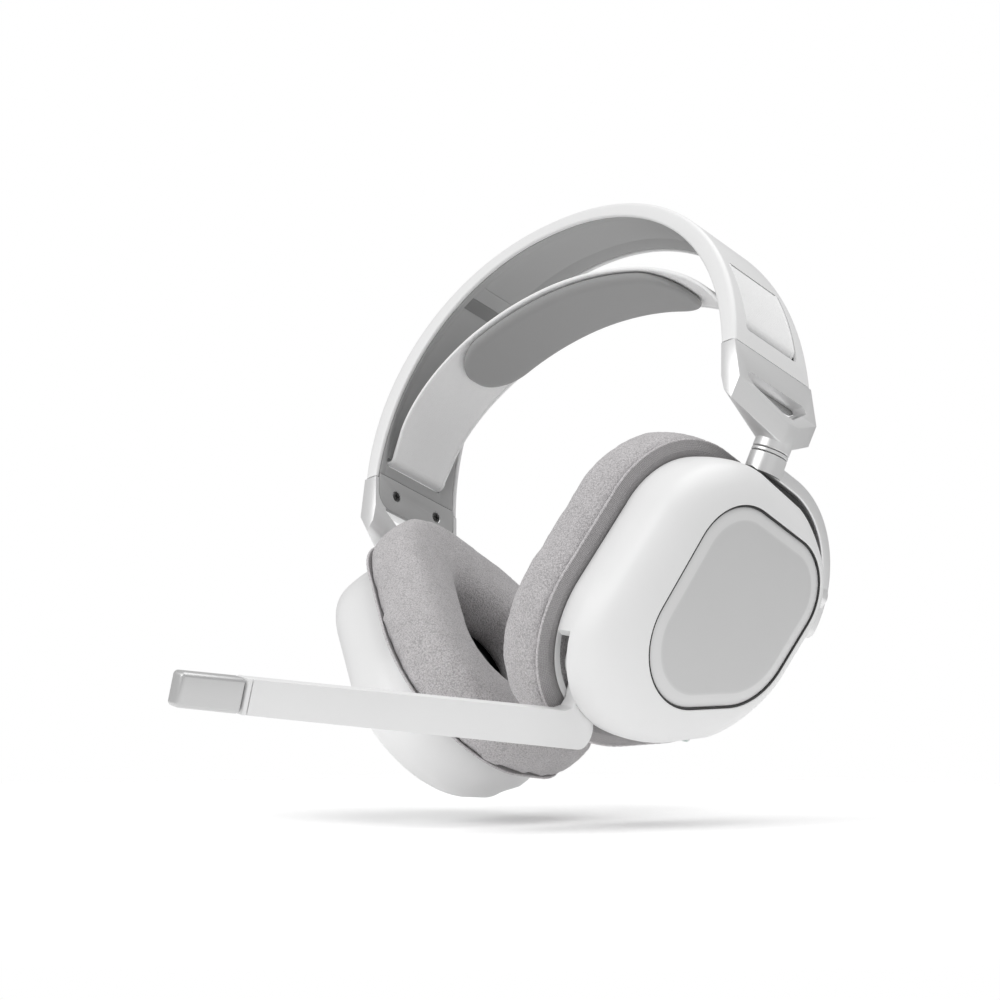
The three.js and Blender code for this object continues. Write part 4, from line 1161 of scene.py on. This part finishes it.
def makePanel(side):
    back, face = cup["depth"] - cup["panelThickness"], cup["depth"] + 0.25
    bevel = cup["panelBevel"]
    wall = [(back, -0.3), (face - 1.15, -0.3), (face - 1.0, -0.38), (face - 0.9, -0.6)]
    slope = [(face - 0.48, -bevel * 0.55), (face - 0.13, -bevel + 0.4), (face - 0.05, -bevel)]
    profile = wall + slope + [(face, -bevel - 0.6), (face + 0.04, -9), (face + 0.08, -14)]
    rims = [1, 1, 1, 1, 1, 0.85, 0.3, 0, 0, 0]  # how light each ring of the profile is
    piece = cupLoft(side + "Panel", profile, side, loop=False, smoothAngle=50)
    count = len(piece.data.vertices) // len(profile)
    layer = piece.data.attributes.new("rim", "FLOAT", "POINT")
    for i in range(len(piece.data.vertices)):
        layer.data[i].value = rims[i // count]
    return settle(piece, side + "_cup", "grey_panel", panelFace, side + "_panel")


def makePanelGapShade(side):
    # a dark ring at the bottom of the groove round the panel: painted shade, so that the narrow groove looks
    # as dark as its shade
    seat, top = cup["depth"] - cup["panelThickness"] - gap, cup["depth"] - 0.15
    profile = [(seat + 0.05, 0.38), (top - 0.25, 0.38), (top, 0.2), (top, -0.12), (top - 0.25, -0.27),
               (seat + 0.05, -0.27)]
    piece = cupLoft(side + "PanelGapShade", profile, side)
    return settle(piece, side + "_cup", "dark_plastic", darkPlastic)


def rearPath(points, leftLimit, lowLimit):
    # the part of an outline over the cup's top and rear edge, from the top down
    path = [p for p in points if p[0] > leftLimit and p[1] > lowLimit]
    return sorted(path, key=lambda p: math.atan2(p[1], p[0] - 5), reverse=True)


def outwardAt(path, i, closed=False):
    # the way out of the outline at one of its points
    last = len(path) - 1
    before = path[i - 1 if closed else max(0, i - 1)]
    after = path[(i + 1) % len(path) if closed else min(last, i + 1)]
    along = Vector((after[0] - before[0], after[1] - before[1])).normalized()
    return np.array((-along.y, along.x))


def barrelPoint(w, u, v):
    return w + cupSeat["barrelOut"], u + cupSeat["barrelBack"], v


def makeYoke(side):
    # a hoop over the cup's top and rear edge that narrows to a round end below the tilt pin
    inner, thickness, width = yoke["inner"], yoke["thickness"], yoke["width"]
    outline = densified([p.tolist() for p in cupOutline(inner + thickness / 2, 48)], 1.5)
    path = rearPath(outline, cupSeat["barrelBack"] - yoke["start"], tilt["v"] - yoke["tail"])
    lengths = np.concatenate([[0], np.cumsum([math.dist(a, b) for a, b in zip(path, path[1:])])])
    rings = []
    for i, (u, v) in enumerate(path):
        out = outwardAt(path, i)
        left = lengths[-1] - lengths[i]
        rounding = math.sqrt(max(0.0, 1 - (1 - min(1, left / yoke["endRound"])) ** 2))
        halfW = width / 2 * (0.25 + 0.75 * rounding)
        halfT = thickness / 2 * (0.82 + 0.18 * min(1, left / 16)) * (0.3 + 0.7 * rounding)
        sink = 0.6 * (thickness / 2 - halfT)
        section = filleted(mirrored([(halfW, halfT), (halfW, -halfT)]), [1.3, 0.6, 0.6, 1.3], 5)
        rings.append([(tilt["w"] + a, u + out[0] * (b - sink), v + out[1] * (b - sink)) for a, b in section])
    hoop = loftPiece(side + "Yoke", rings, cupPlace[side], smoothAngle=50)
    topV = cupSeat["ringHeight"] - swivel["collar"] / 2 - swivel["line"]
    foot, radius, bore = yoke["barrelFoot"], swivel["radius"], swivel["pin"] + gap
    profile = [(0.01, foot), (radius, foot), (radius, topV - 0.2), (radius - 0.2, topV), (0.01, topV)]
    room = [(0.01, topV - 3.5), (bore, topV - 3.5), (bore, topV + 2), (0.01, topV + 2)]
    barrel = lathePiece("barrel", profile, barrelPoint, cupPlace[side])
    weld(hoop, [barrel, tiltRod(side, tilt["boss"] - 0.6, 2.4, 5.5)], 40)
    pinRoom = lathePiece("pinRoom", room, barrelPoint, cupPlace[side])
    carve(hoop, [pinRoom, tiltRod(side, tilt["pin"] + gap, 1, 5.6)], 40)
    return settle(hoop, side + "_yoke", "silver_link", linkSilver, side + "_yoke")


def makeYokeShadow(side):
    # the dark strip on the cup's wall under the hoop: painted shade for the gap between the hoop and the cup
    path = rearPath(cupOutline(0, 48), cupSeat["barrelBack"] - yoke["stripStart"], yoke["stripEnd"])
    rings = []
    for i, point in enumerate(path):
        out = outwardAt(path, i)
        rise = yoke["stripRise"] * smoothShare(min(i, len(path) - 1 - i) / 6) - 0.3
        top = [(4.5, rise - 0.3), (5.0, rise), (10.9, rise), (11.4, rise - 0.3)]
        section = top + [(11.4, -4.2), (4.5, -1.0)]
        rings.append([(w, *(point + out * (cup["shoulder"] + height))) for w, height in section])
    strip = loftPiece(side + "YokeStrip", rings, cupPlace[side], smoothAngle=40)
    carve(strip, [tiltRod(side, tilt["pin"] + gap, -8, 5)])
    return settle(strip, side + "_cup", "rubber_black", darkPlastic)


for side in sides:
    makeHousing(side)
    makePanel(side)
    makePanelGapShade(side)
    makeYoke(side)
    makeYokeShadow(side)
print("stage: cups made")

# ---------- Ear cushions ----------

cushion = {
    "depth": 20.8,
    "seamDepth": -1.9,
    "offset": 18.8,
    "opening": -11.5,
    "inset": 0.9,  # the cover starts this far inside and the pressure fills it out
    "voxel": 3.4,
    "pressure": 2.6,
    "cap": 1.1,
    "frames": 20,
    "relaxing": 8,
    "fuzz": 0.09,
    "fuzzSize": 1.3,
}


def coordinatesOf(piece):
    points = np.zeros(len(piece.data.vertices) * 3, np.float32)
    piece.data.vertices.foreach_get("co", points)
    return points.reshape(-1, 3).astype(float)


def setCoordinates(piece, points):
    piece.data.vertices.foreach_set("co", np.asarray(points, np.float32).reshape(-1))
    piece.data.update()


def modified(piece, kind, **settings):
    step = piece.modifiers.new(kind.lower(), kind)
    for name, value in settings.items():
        setattr(step, name, value)
    return bake(piece)


def inflated(piece, held, settings):
    # cloth under pressure, held where it is clamped, with no point moving past the cap
    scene = bpy.context.scene
    before = coordinatesOf(piece)
    clamped = piece.vertex_groups.new(name="clamped")
    clamped.add([int(i) for i in np.nonzero(held(before))[0]], 1.0, "REPLACE")
    cloth = piece.modifiers.new("cloth", "CLOTH")
    cloth.settings.use_pressure = True
    cloth.settings.uniform_pressure_force = settings["pressure"]
    cloth.settings.vertex_group_mass = "clamped"
    cloth.settings.quality = 4
    cloth.settings.tension_stiffness = 25
    cloth.settings.compression_stiffness = 25
    cloth.settings.effector_weights.gravity = 0
    cloth.point_cache.frame_start = 1
    cloth.point_cache.frame_end = settings["frames"]
    for number in range(1, settings["frames"] + 1):
        scene.frame_set(number)
    graph = bpy.context.evaluated_depsgraph_get()
    moved = np.zeros(len(before) * 3, np.float32)
    piece.evaluated_get(graph).data.vertices.foreach_get("co", moved)
    shift = moved.reshape(-1, 3) - before
    length = np.linalg.norm(shift, axis=1, keepdims=True)
    shift *= np.minimum(1, settings["cap"] * mm / np.maximum(length, 1e-9))
    piece.modifiers.clear()
    piece.vertex_groups.clear()
    scene.frame_set(1)
    setCoordinates(piece, before + shift)
    return piece


def fuzzed(piece, height, size):
    # uneven loops stand a little proud of the cloth
    points = coordinatesOf(piece)
    normals = np.zeros(len(points) * 3, np.float32)
    piece.data.vertices.foreach_get("normal", normals)
    normals = normals.reshape(-1, 3)
    finer = 2.3
    lift = []
    for point in points:
        place = Vector(point)
        lift.append(noise.noise(place / (size * mm)) + 0.5 * noise.noise(place * finer / (size * mm)))
    setCoordinates(piece, points + normals * np.array(lift)[:, None] * height * mm)
    return piece


def makeCushion(side):
    offset, opening, inset = cushion["offset"], cushion["opening"], cushion["inset"]
    back, front = cushion["seamDepth"] + 0.7, -0.6 - cushion["depth"] + inset
    outer, inner = offset - inset, opening + inset
    outerWall = [(back, outer - 0.7), (back - 1.0, outer + 0.1), (front + 4.2, outer + 0.1)]
    crown = [(1.9, outer - 0.9), (0.4, outer - 2.9), (0.0, outer - 6.0), (0.4, inner + 7.5)]
    crown += [(1.6, inner + 3.6), (4.4, inner + 0.9), (9.0, inner - 0.6)]
    foot = [(-0.9, inner), (-0.9, outer - 9.0), (back, outer - 6.5)]
    profile = outerWall + [(front + w, reach) for w, reach in crown] + foot
    piece = cupLoft(side + "Cushion", profile, side, smoothAngle=180)
    modified(piece, "REMESH", mode="VOXEL", voxel_size=cushion["voxel"] * mm)
    toCup = cupPlace[side].inverted()
    clampedDepth = back - 0.6

    def held(points):
        depths = np.array([(toCup @ Vector(p)).x for p in points])
        return depths > clampedDepth

    inflated(piece, held, cushion)
    modified(piece, "SMOOTH", factor=0.5, iterations=cushion["relaxing"])
    modified(piece, "SUBSURF", levels=2, render_levels=2)
    fuzzed(piece, cushion["fuzz"], cushion["fuzzSize"])
    piece.data.shade_smooth()
    settle(piece, side + "_cup", "cushion_knit", cushionKnit, side + "_cushion")
    return piece


def makeCushionSkirt(side):
    # the finely woven strip that clips into the cup behind the padded ring
    offset, seam = cushion["offset"], cushion["seamDepth"]
    seen = [(-0.55, 5.3), (-0.75, 4.4), (seam * 0.55 - 0.1, 3.4), (seam + 0.3, 2.1), (seam - 0.2, 2.0)]
    hidden = [(seam - 0.3, 4.0), (-0.9, 8.5), (-0.55, 7.5)]
    seen, hidden = ([(w, offset - inset) for w, inset in part] for part in (seen, hidden))
    rings = smoothLine(seen, 4) + hidden
    piece = cupLoft(side + "CushionSkirt", rings, side, smoothAngle=50, weave=True)
    settle(piece, side + "_cup", "cushion_knit", stripWeave)
    return piece


def makeCushionSeam(side):
    # the turned seam where the strip meets the padded ring, pulled into small stitches
    depth, radius = cushion["seamDepth"], 0.42
    path = densified([p.tolist() for p in plainOutline(depth, cushion["offset"] - 2.1)], 0.9)
    rings = []
    for i, (u, v) in enumerate(path):
        out = -outwardAt(path, i, closed=True)
        swell = radius * (0.9 + 0.16 * abs(math.sin(math.pi * i / 3)))
        ring = []
        for k in range(8):
            turn = math.pi * k / 4
            reach = swell * math.cos(turn)
            ring.append((depth + swell * math.sin(turn), u + out[0] * reach, v + out[1] * reach))
        rings.append(ring)
    piece = loftPiece(side + "CushionSeam", rings, cupPlace[side], loop=True, smoothAngle=180)
    settle(piece, side + "_cup", "cushion_knit", seamYarn)
    return piece


def makeEarScreen(side):
    # the thin knit stretched over the driver behind the ear opening
    edge = cushion["opening"] - 0.4
    rings = []
    for share in (1.0, 0.985, 0.9, 0.75, 0.55, 0.35, 0.15, 0.01):
        dome = 0.55 * (1 - share**2)
        centre = np.mean(cupOutline(edge), axis=0)
        ring = [(-1.0 - dome, *(centre + (p - centre) * share).tolist()) for p in cupOutline(edge)]
        rings.append(ring)
    middleBack, edgeBack = ([(-gap - 0.05, *point[1:]) for point in ring] for ring in (rings[-1], rings[0]))
    rings = [edgeBack] + rings + [middleBack]
    piece = loftPiece(side + "EarScreen", rings, cupPlace[side], smoothAngle=60, weave=True)
    settle(piece, side + "_cup", "screen_cloth", screenKnit, side + "_ear_screen")
    return piece


for side in sides:
    makeCushion(side)
    makeCushionSkirt(side)
    makeCushionSeam(side)
    makeEarScreen(side)
print("stage: cushions made")

# ---------- Microphone boom ----------


def boomHalfHeight(forward):
    return (boom["rootHeight"] + (boom["tipHeight"] - boom["rootHeight"]) * forward / boom["reach"]) / 2


def boomPrism(name, outline, low, high):
    points = [boomPoint(forward, up) for forward, up in outline]
    return prismPiece(name, points, low, high, "x", cupPlace["left"])


def makeBoomArm():
    root, drop, neck = boom["rootHeight"] / 2, boom["drop"], boom["neck"] / 2
    tail = boom["tail"] - root * 0.8
    end = boom["reach"] - boom["tipLength"] - boom["collarLength"] - gap
    outline = []
    for k in range(13):
        turn = math.pi / 2 + math.pi * k / 12
        outline.append((-tail + root * 0.8 * math.cos(turn), -drop + root * math.sin(turn)))
    outline += [(end, -drop - boomHalfHeight(end)), (end, -drop + boomHalfHeight(end))]
    outline += [(neck + ahead, -drop + root + up) for ahead, up in ((4, -0.15), (1.2, 0.9), (0, 3.4))]
    reach = math.asin(neck / boom["hub"])
    for k in range(25):
        turn = -math.pi / 2 + reach + (2 * math.pi - 2 * reach) * k / 24
        outline.append((boom["hub"] * math.cos(turn), boom["hub"] * math.sin(turn)))
    outline.append((-neck, -drop + root - 0.6))
    arm = boomPrism("boomArm", outline, boom["inner"], boom["inner"] + boom["thickness"])
    softenEdges(arm, boom["edge"], 4, 32, 45)
    high = boom["inner"] + boom["thickness"] + 5
    bore = rodPiece("bore", boom["bore"], -1, high, "x", boom["hinge"], cupPlace["left"], 32)
    carve(arm, [bore], 45)
    return settle(arm, "boom", "white_shell", whiteShell, "boom_arm")


def boomBar(name, start, end, shrink, edge):
    low, high = boomHalfHeight(start) - shrink, boomHalfHeight(end) - shrink
    drop = boom["drop"]
    outline = [(start, -drop - low), (end, -drop - high), (end, -drop + high), (start, -drop + low)]
    bar = boomPrism(name, outline, boom["inner"] + shrink, boom["inner"] + boom["thickness"] - shrink)
    return softenEdges(bar, edge, 5, 30, 50)


def makeBoomCollar():
    start = boom["reach"] - boom["tipLength"] - boom["collarLength"]
    collar = boomBar("boomCollar", start, start + boom["collarLength"] - gap, -0.12, 0.4)
    return settle(collar, "boom", "white_shell", whiteShell, "boom_collar")


def makeBoomTip():
    start = boom["reach"] - boom["tipLength"]
    tip = boomBar("boomTip", start, boom["reach"], 0.0, 1.3)
    core = [(start - 1, -boom["drop"] - 3.6), (boom["reach"] - 3, -boom["drop"] - 3.4),
            (boom["reach"] - 3, -boom["drop"] + 3.4), (start - 1, -boom["drop"] + 3.6)]
    cutters = [boomPrism("core", core, boom["inner"] + 1, boom["inner"] + boom["thickness"] - 1)]
    for number in range(4):
        centre = boom["reach"] - 5.2 - 2.0 * number
        port = filleted(rectangle(centre - 0.4, -boom["drop"] - 2, centre + 0.4, -boom["drop"] + 2), 0.39, 4)
        cutters.append(boomPrism("port", port, boom["inner"] - 1, boom["inner"] + 2))
    carve(tip, cutters, 45)
    return settle(tip, "boom", "tip_grey", tipGrey, "boom_tip")


makeBoomArm()
makeBoomCollar()
makeBoomTip()
print("stage: boom made")

# ---------- Small parts that keep their own shape ----------

nodeFinishes = {
    "band_spring": steelBright,
    "crossover_cable": darkPlastic,
    "main_board": boardGreen,
    "usb_port": steelBright,
    "status_light": lightClear,
    "power_button": greyPanel,
    "volume_wheel": greyPanel,
    "wheel_axle": steelBright,
    "boom_screw": steelBright,
    "mic_capsule": darkPlastic,
    "right_battery": batteryWrap,
}
for side in sides:
    nodeFinishes.update({
        side + "_hook_patch": darkPlastic,
        side + "_swivel_pin": steelBright,
        side + "_tilt_pin": steelBright,
        side + "_baffle": darkPlastic,
        side + "_driver_frame": darkPlastic,
        side + "_magnet": steelBright,
        side + "_diaphragm": filmClear,
    })
for nodeName, material in nodeFinishes.items():
    node = frame["nodes"][nodeName]
    if not node.material_slots:
        node.data.materials.append(material)
    for materialSlot in node.material_slots:
        materialSlot.material = material
print("stage: small parts finished")

# ---------- Camera, floor and light ----------

view = {
    "azimuth": 40.34,
    "elevation": -26.6,
    "roll": 0.87,
    "distance": 0.8011,
    "lens": 92.98,
    "aim": (0.0090, 0.0138, -0.0089),  # from the middle of the object
}
middle = (cadLow + cadHigh) / 2
azimuth, elevation = math.radians(view["azimuth"]), math.radians(view["elevation"])
backward = Vector((math.sin(azimuth), -math.cos(azimuth), 0)) * math.cos(elevation)
backward.z = math.sin(elevation)
level = Vector((math.cos(azimuth), math.sin(azimuth), 0))
sideways = (Matrix.Rotation(math.radians(view["roll"]), 3, backward) @ level).normalized()
upward = backward.cross(sideways)
aim = middle + Vector(view["aim"])

cameraData = bpy.data.cameras.new("camera")
cameraData.lens = view["lens"]
cameraData.sensor_width = 36
cameraData.clip_start, cameraData.clip_end = 0.01, 50
camera = bpy.data.objects.new("camera", cameraData)
camera.rotation_mode = "QUATERNION"
camera.rotation_quaternion = Matrix((sideways, upward, backward)).transposed().to_quaternion()
camera.location = aim + backward * view["distance"]
bpy.context.scene.collection.objects.link(camera)
bpy.context.scene.camera = camera

floor = {"radius": 0.42, "fadeFrom": 0.30, "drop": 0.1008, "tilt": -4.0, "tone": 0.95, "glow": 0.14}
lights = {
    "key": {"at": (-0.85, 0.7, 0.5), "size": 1.0, "power": 6.6},
    "fill": {"at": (0.5, -0.1, 1.1), "size": 1.0, "power": 0.5},
    "top": {"at": (0.38, 1.1, -0.05), "size": 1.3, "power": 10.0},
}


def viewPoint(across, up, towards):
    # a place seen from the camera: across to its right, up, and towards it
    return aim + sideways * across + upward * up + backward * towards


def makeFloor():
    # level with the view, fading out at its rim, and clear from below so that it never hides the object
    tiltAngle = math.radians(floor["tilt"])
    normal = upward * math.cos(tiltAngle) + backward * math.sin(tiltAngle)
    deep = normal.cross(sideways)
    radius, count = floor["radius"], 96
    turns = [2 * math.pi * k / count for k in range(count)]
    mesh = bpy.data.meshes.new("floor")
    mesh.from_pydata([(radius * math.cos(t), radius * math.sin(t), 0) for t in turns], [], [range(count)])
    mesh.update()
    made = bpy.data.objects.new("floor", mesh)
    turned = Matrix((sideways, deep, normal)).transposed().to_4x4()
    made.matrix_world = Matrix.Translation(viewPoint(0, -floor["drop"], 0)) @ turned
    bpy.context.scene.collection.objects.link(made)
    material = mouldedSurface("floorPaper", "paper", grain=1500, bump=0.05)
    tree = material.node_tree
    shader = tree.nodes["Principled BSDF"]
    shader.inputs["Specular IOR Level"].default_value = 0.0
    shader.inputs["Emission Color"].default_value = grey(1.0)
    shader.inputs["Emission Strength"].default_value = floor["glow"]
    distance = makeNode(tree, "VectorMath", {0: ownPlace(tree)}, operation="LENGTH").outputs["Value"]
    span = {"Value": distance, "From Min": floor["fadeFrom"], "From Max": floor["radius"] - 0.01}
    fade = makeNode(tree, "MapRange", span, interpolation_type="SMOOTHSTEP").outputs["Result"]
    behind = makeNode(tree, "NewGeometry").outputs["Backfacing"]
    share = mathNode(tree, "MAXIMUM", behind, fade)
    clear = makeNode(tree, "BsdfTransparent").outputs[0]
    mix = makeNode(tree, "MixShader", {0: share, 1: shader.outputs[0], 2: clear}).outputs[0]
    tree.links.new(mix, tree.nodes["Material Output"].inputs["Surface"])
    made.data.materials.append(material)


def makeLight(name, values):
    data = bpy.data.lights.new(name, "AREA")
    data.shape = "SQUARE"
    data.size = values["size"]
    data.energy = values["power"]
    lamp = bpy.data.objects.new(name, data)
    lamp.location = viewPoint(*values["at"])
    lamp.rotation_mode = "QUATERNION"
    lamp.rotation_quaternion = (lamp.location - aim).to_track_quat("Z", "Y")
    bpy.context.scene.collection.objects.link(lamp)


def makeWorld(seen=1.0, given=0.44):
    # white behind the object, and a softer white as light
    world = bpy.data.worlds.new("studio")
    bpy.context.scene.world = world
    world.use_nodes = True
    tree = world.node_tree
    background = tree.nodes["Background"]
    background.inputs["Color"].default_value = (1, 1, 1, 1)
    ray = makeNode(tree, "LightPath").outputs["Is Camera Ray"]
    strength = mathNode(tree, "ADD", mathNode(tree, "MULTIPLY", ray, seen - given), given)
    tree.links.new(strength, background.inputs["Strength"])


makeFloor()
for name, values in lights.items():
    makeLight(name, values)
makeWorld()
bpy.context.scene.view_settings.view_transform = "Standard"
print("stage: camera, floor and light made")
